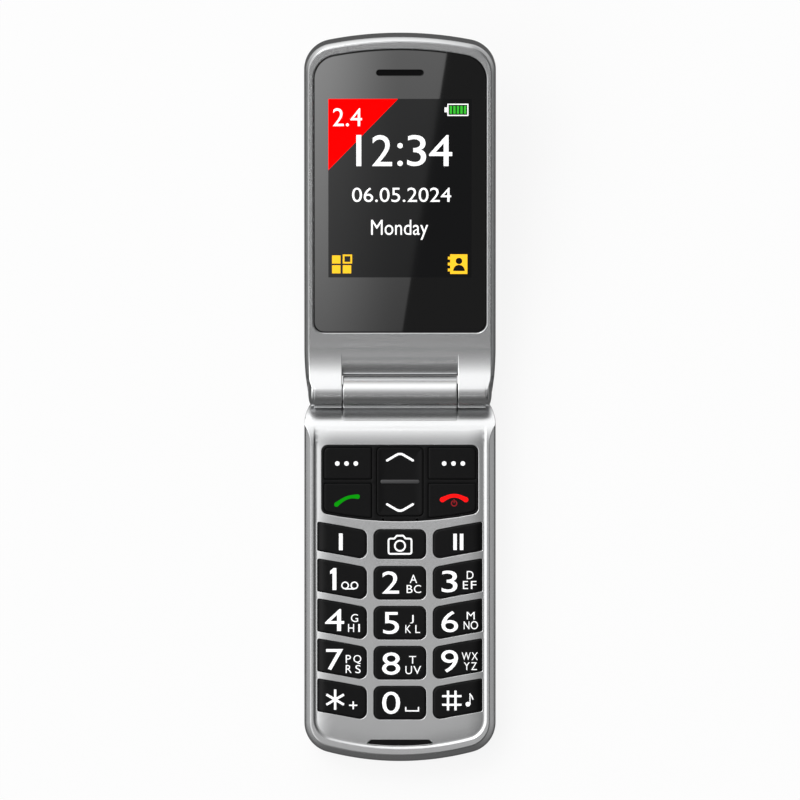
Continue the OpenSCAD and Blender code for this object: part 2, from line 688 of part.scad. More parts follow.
module battery_cover() color(silver_dark) base_place() {
    intersection() {
        base_slab();
        block([-cover_w / 2, cover_v, 0], [cover_w / 2, base_l + 1, cover_t]);
    }
    intersection() {
        cover_rail(0);
        base_slab();
        block([-half_w, 0, 0], [half_w, base_l - 12, cover_t]);
    }
}

// ---- hinge ----

module hinge_module() color(steel) base_place() on_axis() {
    tube_x(case_r, case_bore_r, case_start, case_end);
    tube_x(case_bore_r + fit, shaft_r + 0.1, case_start, case_start + 0.8);
    axle(case_bore_r + fit, case_end - 0.8, case_end);
}

module hinge_follower() color(tin) base_place() on_axis()
    tube_x(case_bore_r - 0.1, shaft_r + 0.1, follower_x, follower_x + follower_t);

// Coil spring: a wire with 8 sides swept along a helix around the axis
spring_steps = spring_turns * 14;
module hinge_spring() color(steel) base_place() on_axis() {
    rings = [for (i = [0:spring_steps]) let (a = 360 * spring_turns * i / spring_steps,
             x = spring_x + spring_wire_r + (spring_l - 2 * spring_wire_r) * i / spring_steps)
        [for (j = [0:7]) let (b = 45 * j, r = spring_r + spring_wire_r * cos(b))
            [x + spring_wire_r * sin(b), r * cos(a), r * sin(a)]]];
    faces = concat(
        [for (i = [0:spring_steps - 1], j = [0:7])
            [8 * i + j, 8 * i + (j + 1) % 8, 8 * (i + 1) + (j + 1) % 8, 8 * (i + 1) + j]],
        [[for (j = [7:-1:0]) j], [for (j = [0:7]) 8 * spring_steps + j]]);
    polyhedron(points = [for (r = rings) each r], faces = faces);
}

// Flat cable in the base: rolled in the barrel, then down and on to the board
module main_flex() color(flex_amber) base_place() {
    x0 = chamber_x + 0.4;
    on_axis() tube_x(bush_r - 0.3, bush_r - 0.3 - flex_t, x0, x0 + flex_w);
    v0 = bush_r - 0.3 - flex_t;
    low = floor_z - plate_t - 0.9;
    block([x0, v0, low], [x0 + flex_w, v0 + flex_t, hinge_z]);
    block([x0, v0, low], [x0 + flex_w, board_v + 0.6, low + flex_t]);
    block([x0, board_v + 0.6 - flex_t, low], [x0 + flex_w, board_v + 0.6, board_z - fit]);
}

// Flat cable in the flip: rolled in the bush, then out to the flip's board
flex_out_x = knuckle_end - 3.4;
module flex_slot() block([flex_out_x - flex_w - 0.2, 0, face_w - bush_bore_r], [flex_out_x + 0.2, knuckle_r + 1.2, -0.8]);
module display_flex() color(flex_amber) flip_place() {
    r = bush_bore_r - 0.1;
    x1 = flex_out_x;
    x0 = x1 - flex_w;
    drop = knuckle_r + 3.6;
    level = flip_board_top + fit;
    end = flip_board_u + 1;
    tube_x(r, r - flex_t, chamber_x + flex_w + 0.8, x1);
    block([x0, 0, -r], [x1, drop, flex_t - r]);
    block([x0, drop - flex_t, level], [x1, drop, flex_t - r]);
    block([x0, drop - flex_t, level], [x1, end, level + flex_t]);
}

module hinge_shaft() color(steel) flip_place() {
    axle(head_r, -knuckle_end + 0.6, case_start - 0.2);
    axle(shaft_r, case_start - 0.3, spring_x + 4.8);
    axle(case_bore_r - 0.1, cam_x, cam_x + cam_t);
}

module hinge_bush() color(gloss_black) flip_place() difference() {
    tube_x(bush_r, bush_bore_r, chamber_x + flex_w + 0.8, knuckle_end - 0.6);
    flex_slot();
}

cap_r = 3.7;
cap_t = 1.6;
// A shallow dome on a plug; s is the side of the phone
module hinge_cap(s) color(silver) flip_place() scale([s, 1, 1]) translate([knuckle_end, 0, 0]) rotate([0, 90, 0]) {
    translate([0, 0, -0.5]) cylinder(r = head_r - 0.05, h = 0.6);
    rotate_extrude() polygon(concat([[0, 0], [cap_r, 0], [cap_r, 0.5]],
        [for (i = [1:6]) let (t = 90 * i / 6) [cap_r * cos(t), 0.5 + (cap_t - 0.5) * sin(t)]]));
}

// ---- flip ----

ramp_c = [roll_start, ramp_w];
function ramp_arc(depth, a0, a1, n = 10) = arc(ramp_c, ramp_r + depth, 270 - a0, 270 - a1, n);

// The face of the flip in section: knuckle tangent, ramp, then the flat face
module frame_section() {
    polygon(concat([[0, 0], (knuckle_r - weld) * [sin(ramp_angle), cos(ramp_angle)]],
                   ramp_arc(0, ramp_angle, 0),
                   [[flip_l + 1, face_w], [flip_l + 1, frame_w], [2.5, frame_w]]));
}
// Room under the frame's skin, from start to the display lens
module frame_room(start) {
    depth = skin_t;
    a = asin((roll_start - start) / (ramp_r + depth));
    polygon(concat([[start, frame_w - 1]], ramp_arc(depth, a, 0),
                   [[lens_u - 1, face_w - depth], [lens_u - 1, frame_w - 1]]));
}
// All that lies on the hinge side of the flip's middle part; depth leaves a wall
function cove_foot(depth, w) =
    let (p = cove_at + (cove_r - depth) * [cos(open_angle), sin(open_angle)])
    [p.x - (p.y - w) * tan(tilt), w];
module cove(depth, top) {
    r = cove_r - depth;
    up = cove_at + r * [sin(cove_a), cos(cove_a)];
    polygon(concat([cove_foot(depth, back_w - 1)], arc(cove_at, r, open_angle, 90 - cove_a, 8),
                   [[up.x, top], [-9, top], [-9, back_w - 1]]));
}
slot_x = knuckle_x;
cheek_x = knuckle_x + cheek;

module flip_inner_frame() color(silver) flip_place() difference() {
    union() {
        intersection() {
            plate(flip_outline(frame_inset, -knuckle_r - frame_inset), frame_w, knuckle_r + 1);
            across(-half_w, half_w) frame_section();
        }
        both_sides() axle(knuckle_r, knuckle_x, knuckle_end);
    }
    both_sides() across(cheek_x, half_w - frame_inset - wall) frame_room(knuckle_r + 1);
    difference() {
        across(-cheek_x - eps, cheek_x + eps) frame_room(knuckle_r + 1);
        across(-cheek_x - 1, cheek_x + 1) cove(wall, 9);
    }
    across(-slot_x, slot_x) cove(0, 9);
    both_sides() axle(knuckle_r + 0.05, knuckle_end, half_w + 1);
    plate(lens_outline(0.1), ledge_w, 1);
    block([-display_w / 2 - 0.1, display_u - 0.1, frame_w - 1],
          [display_w / 2 + 0.1, display_u + display_l + 0.1, 1]);
    earpiece_slot(0.1, frame_w - 1, 1);
    for (b = flip_boss) {
        post(b, screw_r + 0.15, frame_w - eps, 0);
        post(b, screw_head_r + 0.15, ledge_w - screw_head_t, 0);
    }
    axle(head_r + fit, -knuckle_end - eps, -knuckle_x + eps);
    axle(bush_r + fit, knuckle_x - eps, knuckle_end + eps);
    flex_slot();
}

module flip_slab() {
    hull() for (t = [0:22.5:90]) let (w = back_w + back_r * (1 - cos(t)))
        plate(flip_outline(back_r * (1 - sin(t))), w, w + (t < 90 ? slice_t : slice_end));
    plate(flip_outline(0), back_w + back_r + slice_end, rim_w - 0.3);
    plate(flip_outline(0.3), rim_w - 0.3, rim_w);
}

module flip_outer_cover() color(silver_dark) flip_place() difference() {
    union() {
        difference() {
            flip_slab();
            plate(flip_outline(frame_inset, -knuckle_r - frame_inset), frame_w, 1);
            difference() {
                intersection() {
                    plate(flip_outline(cover_inset, -knuckle_r - cover_inset), cover_in_w, frame_w + eps);
                    upright() block([-half_w, end_v + wall, -flip_l], [half_w, 2 * flip_l, flip_l]);
                }
                across(-cheek_x, cheek_x) cove(wall, 9);
            }
        }
        for (b = flip_boss) post(b, boss_r, cover_in_w - fit, frame_w - fit);
    }
    across(-slot_x, slot_x) cove(0, 9);
    upright() block([-half_w - 1, -20, -flip_l], [half_w + 1, end_v, flip_l]);
    axle(knuckle_r + 0.05, -half_w - 1, half_w + 1);
    for (b = flip_boss) post(b, boss_bore_r, cover_in_w + 0.4, frame_w + eps);
    post([0, camera_u], camera_window_r + fit, back_w - eps, back_w + 0.7);
    post([0, camera_u], camera_r + 0.15, back_w - eps, cover_in_w + eps);
    post([flash_x, camera_u], 1.1, back_w - eps, cover_in_w + eps);
}

module earpiece_slot(grow, w0, w1) {
    a = (earpiece_w - earpiece_slot_h) / 2;
    r = earpiece_slot_h / 2 + grow;
    translate([0, earpiece_u, w0]) linear_extrude(w1 - w0) {
        for (s = [-1, 1]) translate([s * a, 0]) circle(r);
        translate([-a, -r]) square([2 * a, 2 * r]);
    }
}

module display_lens() color(gloss_black) flip_place() difference() {
    plate(lens_outline(), lens_top - lens_t, lens_top);
    earpiece_slot(fit, lens_top - lens_t - eps, lens_top + eps);
}

module display_module() color(steel) flip_place()
    block([-display_w / 2, display_u, display_top - display_t], [display_w / 2, display_u + display_l, display_top]);

module flip_board() color(board_green) flip_place() difference() {
    block([5.2 - half_w, flip_board_u, flip_board_w], [half_w - 5.2, camera_u + 8.5, flip_board_top]);
    for (b = flip_boss) post(b, boss_r + 0.2, flip_board_w - eps, flip_board_top + eps);
}

module earpiece() color(tin) flip_place()
    block([-6.6, earpiece_u - 2.9, frame_w - 0.1 - 2.2], [6.6, earpiece_u + 3.4, frame_w - 0.1]);

module earpiece_mesh() color(gloss_black) flip_place() earpiece_slot(0, ledge_w + fit, lens_top - 0.2);

module vibration_motor() color(steel) flip_place()
    post([-11, display_u + 6], 4, cover_in_w + 0.1, flip_board_w - 0.1);

module camera_module() color(gloss_black) flip_place() {
    block([-4.25, camera_u - 4.25, cover_in_w + 0.1], [4.25, camera_u + 4.25, flip_board_w - fit]);
    post([0, camera_u], camera_r, back_w + 0.75, cover_in_w + 0.2);
}

module camera_window() color(gloss_black) flip_place() post([0, camera_u], camera_window_r, back_w + 0.1, back_w + 0.7);

module flash_led() color("white") flip_place() {
    post([flash_x, camera_u], 1, back_w + 0.2, cover_in_w + 0.2);
    block([flash_x - 1.6, camera_u - 1.6, cover_in_w + 0.1], [flash_x + 1.6, camera_u + 1.6, flip_board_w - fit]);
}

module flip_magnet() color(steel) flip_place()
    block([10.5, earpiece_u - 2.2, frame_w - 1.6], [14.5, earpiece_u + 1.8, frame_w - 0.1]);

module flip_screws() color(steel) flip_place() for (b = flip_boss) {
    post(b, screw_head_r, ledge_w - screw_head_t + fit, ledge_w - 0.15);
    post(b, screw_r, cover_in_w + 1, ledge_w - screw_head_t + 0.2);
}

flip_outer_cover();
flip_inner_frame();
display_lens();
display_module();
flip_board();
earpiece();
earpiece_mesh();
vibration_motor();
camera_module();
camera_window();
flash_led();
flip_magnet();
flip_screws();
hinge_cap(-1);  // hinge_cap_left
hinge_cap(1);  // hinge_cap_right
hinge_shaft();
hinge_bush();
display_flex();
base_front_housing();
base_rear_housing();
nav_bezel();
keypad_mat();
dome_sheet();
main_board();
board_shields();
sim_holder();
battery();
battery_contacts();
loudspeaker();
speaker_mesh();
microphone();
mic_slot_insert();
usb_socket();
antenna();
base_screws();
hinge_module();
hinge_follower();
hinge_spring();
main_flex();
battery_cover();
soft_key(-1);  // soft_key_left
soft_key(1);  // soft_key_right
lower_key(-1);  // call_key
lower_key(1);  // end_key
nav_rocker();
pad_key(fn_keys[0]);  // key_m1
pad_key(fn_keys[1]);  // key_camera
pad_key(fn_keys[2]);  // key_m2
for (i = [0:8]) pad_key(number_keys[i]);
pad_key(number_keys[9]);  // key_star
pad_key(number_keys[10]);  // key_0
pad_key(number_keys[11]);  // key_hash
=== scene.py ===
"""Open flip phone on its back: the visible skin, keys and display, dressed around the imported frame.

Sizes are in millimetres in each half's own axes and become metres when a mesh is made. The keypad half
is (x, v, z): v runs from the hinge axis to the keypad end and z is the height above the table. The
display half is (x, u, w): u runs from the hinge axis to the far end and w stands square to its face.
A ring is a closed row of (x, along) points, and a place along either half is called s.
"""

import json
import logging
import math
from dataclasses import dataclass, field
from enum import Enum
from functools import partial
from typing import Callable, Optional, Sequence, Union

import bmesh
import bpy
import numpy as np
from mathutils import Vector
from mathutils.geometry import delaunay_2d_cdt
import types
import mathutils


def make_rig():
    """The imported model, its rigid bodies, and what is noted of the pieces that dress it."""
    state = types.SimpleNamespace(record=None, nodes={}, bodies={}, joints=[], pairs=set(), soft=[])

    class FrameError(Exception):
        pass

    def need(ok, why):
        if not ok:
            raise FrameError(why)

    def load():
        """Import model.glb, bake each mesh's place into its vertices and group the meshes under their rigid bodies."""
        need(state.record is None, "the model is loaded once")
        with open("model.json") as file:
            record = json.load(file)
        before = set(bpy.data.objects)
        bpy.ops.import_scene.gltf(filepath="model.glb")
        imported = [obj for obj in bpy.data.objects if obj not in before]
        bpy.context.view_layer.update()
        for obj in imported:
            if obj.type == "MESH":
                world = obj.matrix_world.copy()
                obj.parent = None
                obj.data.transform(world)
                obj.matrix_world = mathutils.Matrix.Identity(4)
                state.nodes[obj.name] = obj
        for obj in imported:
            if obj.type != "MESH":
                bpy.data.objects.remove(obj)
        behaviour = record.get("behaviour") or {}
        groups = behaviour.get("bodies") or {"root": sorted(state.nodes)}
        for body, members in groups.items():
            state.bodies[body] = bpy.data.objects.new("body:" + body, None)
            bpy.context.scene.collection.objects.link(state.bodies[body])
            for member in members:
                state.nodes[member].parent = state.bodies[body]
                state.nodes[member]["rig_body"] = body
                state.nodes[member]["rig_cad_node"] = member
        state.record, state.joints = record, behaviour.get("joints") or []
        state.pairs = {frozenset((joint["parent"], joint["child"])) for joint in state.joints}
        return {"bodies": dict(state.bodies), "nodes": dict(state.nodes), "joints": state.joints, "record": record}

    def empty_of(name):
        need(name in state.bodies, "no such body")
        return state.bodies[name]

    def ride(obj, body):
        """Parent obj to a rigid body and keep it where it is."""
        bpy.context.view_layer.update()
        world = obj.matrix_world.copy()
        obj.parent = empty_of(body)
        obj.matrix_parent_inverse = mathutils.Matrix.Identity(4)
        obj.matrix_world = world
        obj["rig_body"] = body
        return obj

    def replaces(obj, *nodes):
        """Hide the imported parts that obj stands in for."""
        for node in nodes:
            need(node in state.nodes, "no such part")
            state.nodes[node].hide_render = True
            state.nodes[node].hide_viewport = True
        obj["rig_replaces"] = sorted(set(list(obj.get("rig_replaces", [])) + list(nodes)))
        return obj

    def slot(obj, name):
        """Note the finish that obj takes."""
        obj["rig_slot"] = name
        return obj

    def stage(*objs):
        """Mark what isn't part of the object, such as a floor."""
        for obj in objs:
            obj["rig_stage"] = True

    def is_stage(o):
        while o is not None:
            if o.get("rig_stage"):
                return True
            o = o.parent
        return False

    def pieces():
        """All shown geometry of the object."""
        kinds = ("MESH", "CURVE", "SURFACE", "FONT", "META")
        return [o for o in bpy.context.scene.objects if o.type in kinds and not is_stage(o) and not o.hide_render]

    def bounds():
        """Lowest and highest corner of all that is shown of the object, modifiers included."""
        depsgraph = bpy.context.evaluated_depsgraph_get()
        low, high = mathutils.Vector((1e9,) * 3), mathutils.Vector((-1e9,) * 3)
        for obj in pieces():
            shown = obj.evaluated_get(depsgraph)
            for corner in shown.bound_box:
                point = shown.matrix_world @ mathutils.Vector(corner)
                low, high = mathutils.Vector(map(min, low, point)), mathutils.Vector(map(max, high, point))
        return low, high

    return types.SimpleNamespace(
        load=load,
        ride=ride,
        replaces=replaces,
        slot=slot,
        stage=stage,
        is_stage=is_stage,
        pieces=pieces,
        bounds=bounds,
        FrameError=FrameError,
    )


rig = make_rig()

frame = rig.load()
CAD_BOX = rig.bounds()

log = logging.getLogger("phone")
Number = Union[float, np.ndarray]
Height = Callable[[np.ndarray, np.ndarray], np.ndarray]
Colour = tuple[float, float, float]
Pair = tuple[float, float]
Points = Sequence[Sequence[float]]

# How far apart the points of a curved face stand, across a half and along it.
POINT_STEP = 0.8
ROW_STEP = 0.45
# Lengths taken as nothing: in a division, in a plate's net, and between doubled points in metres.
TINY = 1e-12
NET_TINY = 1e-7
WELD_REACH = 2e-7
# Pairs of a point and a side that are measured at a time.
BLOCK_SIZE = 2_000_000
# Smallest divisors of a mitre, for rings and for strokes.
RING_MITRE = 0.35
STROKE_MITRE = 0.4
# Steps of the round stretches: the backs, the far ends, their corners, the waists and the sweeps.
BACK_STEPS = 12
END_STEPS = 60
CORNER_STEPS = 18
WAIST_STEPS = 12
SWEEP_STEPS = 14
# How much a large face leads the normals, and the angles above which an edge stays sharp.
FLAT_WEIGHT = 80
HOUSING_SHARP = 35.0
ROUND_SHARP = 40.0
KEY_SHARP = 50.0


# ---- sizes that the sub-assemblies share ----


@dataclass(frozen=True)
class Layout:
    """Sizes of both halves and of the hinge, in millimetres and degrees.

    A waist is the radius on which a half's sides curve in towards the hinge and where that starts.
    """

    half_w: float = 25.0
    base_l: float = 96.5
    base_t: float = 11.0
    flip_l: float = 95.5
    flip_t: float = 9.0
    face_w: float = -0.3
    tilt: float = 15.0
    back_r: float = 4.2
    corner_r: float = 8.0
    base_end_r: float = 75.0
    flip_end_r: float = 94.0
    base_waist: Pair = (9.5, 8.4)
    flip_waist: Pair = (85.0, 11.4)
    shoulder_w: float = 1.65
    sweep_v: Pair = (8.6, 14.4)
    knuckle_r: float = 4.2
    knuckle_x: float = 15.15
    knuckle_end: float = 22.4
    barrel_x: float = 14.9
    roll_start: float = 13.2
    ramp_angle: float = 30.3
    face_gap: float = 0.6
    end_v: float = 0.15
    knuckle_gap: float = 0.4
    plate_t: float = 1.3
    flip_tail: float = -1.6
    frame_inset: float = 1.1
    cove_u: float = 10.0

    @property
    def hinge_y(self) -> float:
        """Place of the hinge axis along the phone."""
        return self.base_l / 2

    @property
    def hinge_z(self) -> float:
        """Height of the hinge axis."""
        return self.base_t - self.face_w

    @property
    def lean(self) -> float:
        """The tilt in radians."""
        return math.radians(self.tilt)

    @property
    def ramp_r(self) -> float:
        """Radius of the ramp that leaves the face and meets the knuckle on a tangent."""
        a = math.radians(self.ramp_angle)
        return (self.roll_start * math.sin(a) + self.face_w * math.cos(a) - self.knuckle_r) / (1 - math.cos(a))

    @property
    def roll_r(self) -> float:
        """Radius of the keypad half's roll, which lies a face gap inside the ramp."""
        return self.ramp_r - self.face_gap

    @property
    def floor_z(self) -> float:
        """Height of the keypad half under the knuckles."""
        return self.hinge_z - self.knuckle_r - self.knuckle_gap


L = Layout()


class Half(Enum):
    """The half whose axes a form is worked out in."""

    BASE = "base"
    FLIP = "flip"

    def place(self, points: np.ndarray) -> np.ndarray:
        """Takes points from a half's own axes to the shared frame.

        Args:
            points: Rows of (x, along, height) in millimetres.

        Returns:
            The same points in metres in the shared frame.
        """
        x, s, h = points.T
        if self is Half.BASE:
            return np.column_stack((x, L.hinge_y - s, h)) / 1000
        c, k = math.cos(L.lean), math.sin(L.lean)
        return np.column_stack((x, L.hinge_y + s * c - h * k, L.hinge_z + s * k + h * c)) / 1000


# ---- rings ----


def unit(v: np.ndarray) -> np.ndarray:
    """Scales each vector to length one."""
    return v / np.maximum(np.linalg.norm(v, axis=-1, keepdims=True), TINY)


def arc(centre: Sequence[float], radius: float, start: float, end: float, steps: int = 16) -> np.ndarray:
    """Points centre + radius * (cos a, sin a), with a going in even steps from start to end, in degrees."""
    a = np.radians(np.linspace(start, end, steps + 1))
    return np.column_stack((centre[0] + radius * np.cos(a), centre[1] + radius * np.sin(a)))


def circle(centre: Sequence[float], radius: float, steps: int = 32) -> np.ndarray:
    """A closed ring of points on a circle, turning left."""
    return arc(centre, radius, 0, 360, steps)[:-1]


def rounding(radius: float, steps: int, last: float = 90.0) -> np.ndarray:
    """Rows of radius * (1 - sin t, 1 - cos t), with t going in even steps from 0 to last, in degrees."""
    t = np.radians(np.linspace(0, last, steps + 1))
    return radius * np.column_stack((1 - np.sin(t), 1 - np.cos(t)))


def rounded(points: Points, radii: Sequence[float], steps: int = 8) -> np.ndarray:
    """Polygon with each corner replaced by the arc that touches both of its sides.

    Args:
        points: Corners in order.
        radii: One radius for each corner; 0 keeps it sharp.
        steps: Steps in each arc.

    Returns:
        The closed ring.
    """
    p = np.asarray(points, float)
    parts = []
    for before, at, after, r in zip(np.roll(p, 1, 0), p, np.roll(p, -1, 0), radii):
        if r == 0:
            parts.append(at[None])
            continue
        a, b = unit(before - at), unit(after - at)
        half = math.acos(np.clip(a @ b, -1, 1)) / 2
        middle = at + unit(a + b) * r / math.sin(half)
        q = at + a * r / math.tan(half) - middle
        turn = -np.sign(a[0] * b[1] - a[1] * b[0]) * np.linspace(0, math.pi - 2 * half, steps + 1)
        parts.append(middle + np.column_stack((q[0] * np.cos(turn) - q[1] * np.sin(turn),
                                               q[0] * np.sin(turn) + q[1] * np.cos(turn))))
    return np.vstack(parts)


def bar(x0: float, s0: float, x1: float, s1: float, radius: float = 0.0) -> np.ndarray:
    """A rectangle as a ring, with round corners where a radius is given."""
    return rounded([[x0, s0], [x1, s0], [x1, s1], [x0, s1]], [radius] * 4)


def clean(ring: np.ndarray, least: float = 1e-3) -> np.ndarray:
    """Drops points of a closed ring that repeat the one before them."""
    return ring[np.linalg.norm(ring - np.roll(ring, 1, 0), axis=1) > least]


def densify(ring: np.ndarray, step: float) -> np.ndarray:
    """Splits each side of a closed ring into equal parts that are no longer than step.

    Args:
        ring: The closed ring.
        step: Longest part.

    Returns:
        The ring with points added on its sides.
    """
    ring = clean(ring)
    side = np.roll(ring, -1, 0) - ring
    n = np.maximum(1, np.ceil(np.linalg.norm(side, axis=1) / step)).astype(int)
    which = np.repeat(np.arange(len(ring)), n)
    t = (np.arange(n.sum()) - np.repeat(np.cumsum(n) - n, n)) / n[which]
    return ring[which] + side[which] * t[:, None]


def leftward(ring: np.ndarray) -> np.ndarray:
    """Gives a ring that turns left, whatever way it came."""
    x, y = ring.T
    return ring if np.sum(x * np.roll(y, -1) - np.roll(x, -1) * y) > 0 else ring[::-1]


def mitre(before: np.ndarray, after: np.ndarray, least: float) -> np.ndarray:
    """Left-hand normals a and b of two directions: a + b over 1 + a * b, or over least if that is more."""
    na, nb = (np.column_stack((-d[:, 1], d[:, 0])) for d in (after, before))
    return (na + nb) / np.maximum(1 + np.sum(na * nb, axis=1), least)[:, None]


def offset(ring: np.ndarray, depth: Number) -> np.ndarray:
    """Moves each side of a closed ring to its left by a number, or by one for each point."""
    after = unit(np.roll(ring, -1, 0) - ring)
    return ring + mitre(np.roll(after, 1, 0), after, RING_MITRE) * np.broadcast_to(depth, len(ring))[:, None]


def inside(points: np.ndarray, ring: np.ndarray) -> np.ndarray:
    """Tells which points lie inside a closed ring, by counting the sides to their right.

    Args:
        points: Rows of two coordinates.
        ring: The closed ring.

    Returns:
        True or false for each point.
    """
    x, y = points.T
    a, b = ring[:, :, None], np.roll(ring, -1, 0)[:, :, None]
    spans = (a[:, 1] > y) != (b[:, 1] > y)
    rise = np.where(np.abs(b[:, 1] - a[:, 1]) < TINY, TINY, b[:, 1] - a[:, 1])
    at = a[:, 0] + (y - a[:, 1]) * (b[:, 0] - a[:, 0]) / rise
    return np.count_nonzero(spans & (x < at), axis=0) % 2 == 1


def within(points: np.ndarray, outer: np.ndarray, holes: Sequence[np.ndarray]) -> np.ndarray:
    """Tells which points lie inside an outer ring and outside all holes."""
    return np.logical_and.reduce([inside(points, outer), *(~inside(points, hole) for hole in holes)])


def reach(points: np.ndarray, ring: np.ndarray) -> np.ndarray:
    """Distance from each point to the nearest side of a closed ring.

    Args:
        points: Rows of two coordinates.
        ring: The closed ring.

    Returns:
        One distance for each point, worked out in blocks that keep the arrays small.
    """
    side = np.roll(ring, -1, 0) - ring
    size = np.maximum(np.sum(side * side, axis=1), TINY)
    found = []
    for block in np.array_split(points, max(1, len(points) * len(ring) // BLOCK_SIZE)):
        to = block[:, None, :] - ring[None]
        t = np.clip(np.sum(to * side, axis=2) / size, 0, 1)
        found.append(np.min(np.linalg.norm(to - t[..., None] * side, axis=2), axis=1))
    return np.concatenate(found)


def rows_of_points(half_x: float, start: float, end: float) -> np.ndarray:
    """Points in rows ROW_STEP apart between two places along a half, POINT_STEP apart across it."""
    x, s = np.meshgrid(np.arange(-half_x, half_x + 0.1, POINT_STEP), np.arange(start, end, ROW_STEP))
    return np.column_stack((x.ravel(), s.ravel()))


def far_end(length: float, end_r: float, inset: float, half: float = L.half_w,
            r: float = L.corner_r) -> np.ndarray:
    """Far end of a half, right to left: a corner arc, a bowed end on a large circle, a corner arc.

    Args:
        length: Where the bowed end reaches.
        end_r: Its radius.
        inset: How far inside that outline the points lie.
        half: Half the width.
        r: Radius of the corners.

    Returns:
        An open row of points.
    """
    low = length - end_r
    x, s = half - r, low + math.sqrt((end_r - r) ** 2 - (half - r) ** 2)
    a = math.degrees(math.atan2(s - low, x))
    return np.vstack((arc((x, s), r - inset, 0, a, CORNER_STEPS),
                      arc((0, low), end_r - inset, a, 180 - a, END_STEPS),
                      arc((-x, s), r - inset, 180 - a, 180, CORNER_STEPS)))


def near_end(waist: Pair, end: float, inset: float) -> np.ndarray:
    """Hinge end of a half, left to right: its sides curve in on the waist's circles.

    Args:
        waist: Radius of the circles and where they start.
        end: Where the outline stops.
        inset: How far inside that outline the points lie.

    Returns:
        An open row of points.
    """
    r, start = waist
    a = math.degrees(math.asin(min(1, (start - end - inset) / (r - inset))))
    return np.vstack((arc((r - L.half_w, start), r - inset, 180, 180 + a, WAIST_STEPS),
                      arc((L.half_w - r, start), r - inset, -a, 0, WAIST_STEPS)))


def base_outline(inset: float, length: float = L.base_l) -> np.ndarray:
    """The keypad half seen from the front, at an inset."""
    return np.vstack((far_end(length, L.base_end_r, inset), near_end(L.base_waist, L.end_v, inset)))


def flip_outline(inset: float) -> np.ndarray:
    """The display half seen from the front, at an inset."""
    return np.vstack((far_end(L.flip_l, L.flip_end_r, inset), near_end(L.flip_waist, L.flip_tail, inset)))


def corner_sweep(side: int, over: float = 0.0) -> np.ndarray:
    """Edge of the front plate between the shoulder and the full width, one arc on each side.

    Args:
        side: -1 for the left side, 1 for the right one.
        over: How far the arc goes on past the full width.

    Returns:
        An open row of points.
    """
    low, high = L.sweep_v
    r = (L.shoulder_w**2 + (high - low) ** 2) / (2 * L.shoulder_w)
    a = math.degrees(math.acos((r - L.shoulder_w - over) / r))
    middle = (side * (L.half_w - L.shoulder_w + r), high)
    first, last = (180 + a, 180) if side > 0 else (0, -a)
    return arc(middle, r, first, last, SWEEP_STEPS)


def level(z: float) -> Height:
    """A flat height function."""
    return lambda x, s: np.full(len(x), z)


def smooth(t: np.ndarray) -> np.ndarray:
    """Goes from 0 to 1 with level ends as t does: t^2 * (3 - 2 * t)."""
    t = np.clip(t, 0, 1)
    return t * t * (3 - 2 * t)


# ---- closed forms ----


@dataclass
class Body:
    """Points and faces of one closed form, in a half's own axes and millimetres."""

    half: Half
    tone: int = 0
    points: list[np.ndarray] = field(default_factory=list)
    quads: list[np.ndarray] = field(default_factory=list)
    tris: list[np.ndarray] = field(default_factory=list)
    caps: list[np.ndarray] = field(default_factory=list)

    def put(self, points: np.ndarray) -> np.ndarray:
        """Adds points.

        Args:
            points: An array whose last axis is (x, along, height).

        Returns:
            The points' numbers in the same shape.
        """
        start = sum(len(p) for p in self.points)
        flat = points.reshape(-1, 3)
        self.points.append(flat)
        return (start + np.arange(len(flat))).reshape(points.shape[:-1])

    def strip(self, rows: np.ndarray) -> None:
        """Joins each row of point numbers to the next, round the ring."""
        a, b = rows[:-1], rows[1:]
        self.quads.append(np.stack((np.roll(a, -1, 1), a, b, np.roll(b, -1, 1)), axis=-1).reshape(-1, 4))

    def loft(self, rows: np.ndarray, last: bool = True) -> np.ndarray:
        """Carries a ring through its places and caps its ends with one face each.

        Args:
            rows: Array of (place, point of the ring, coordinate).
            last: Whether the last ring gets a cap, as the first one does.

        Returns:
            The point numbers.
        """
        n = self.put(rows)
        self.strip(n)
        self.caps += [n[0]] + ([n[-1][::-1]] if last else [])
        return n

    def placed(self) -> tuple[np.ndarray, list[list[int]]]:
        """Points in metres and faces that look outwards.

        Returns:
            The points, and each face as a list of point numbers. The signed volume under the faces,
            the sum of a . (b x c) over their triangles, tells whether they look inwards and are turned.
        """
        p = self.half.place(np.vstack(self.points))
        q = np.vstack([np.zeros((0, 4), int), *self.quads])
        t = np.vstack([np.zeros((0, 3), int), *self.tris])
        fans = [np.column_stack((np.full(len(c) - 2, c[0]), c[1:-1], c[2:])) for c in self.caps]
        every = np.vstack([q[:, :3], q[:, [0, 2, 3]], t, *fans])
        a, b, c = (p[every[:, i]] - p.mean(0) for i in range(3))
        faces = q.tolist() + t.tolist() + [c.tolist() for c in self.caps]
        if np.sum(a * np.cross(b, c)) < 0:
            faces = [f[::-1] for f in faces]
        return p, faces


def ring_at(ring: np.ndarray, height: Number) -> np.ndarray:
    """A flat ring at a height, or with one height for each point."""
    return np.column_stack((ring, np.broadcast_to(height, len(ring))))


def lofted(half: Half, rows: Sequence[np.ndarray], tone: int = 0) -> Body:
    """A closed form through rings with the same number of points, from the first to the last."""
    body = Body(half, tone)
    body.loft(np.stack(rows))
    return body


def stack(half: Half, rings: Sequence[tuple[np.ndarray, Number]], tone: int = 0) -> Body:
    """A closed form through flat rings, each with its height."""
    return lofted(half, [ring_at(r, z) for r, z in rings], tone)


def extrude(half: Half, ring: np.ndarray, low: Number, high: Number, tone: int = 0) -> Body:
    """A ring carried straight up from one height to another."""
    return stack(half, [(ring, low), (ring, high)], tone)


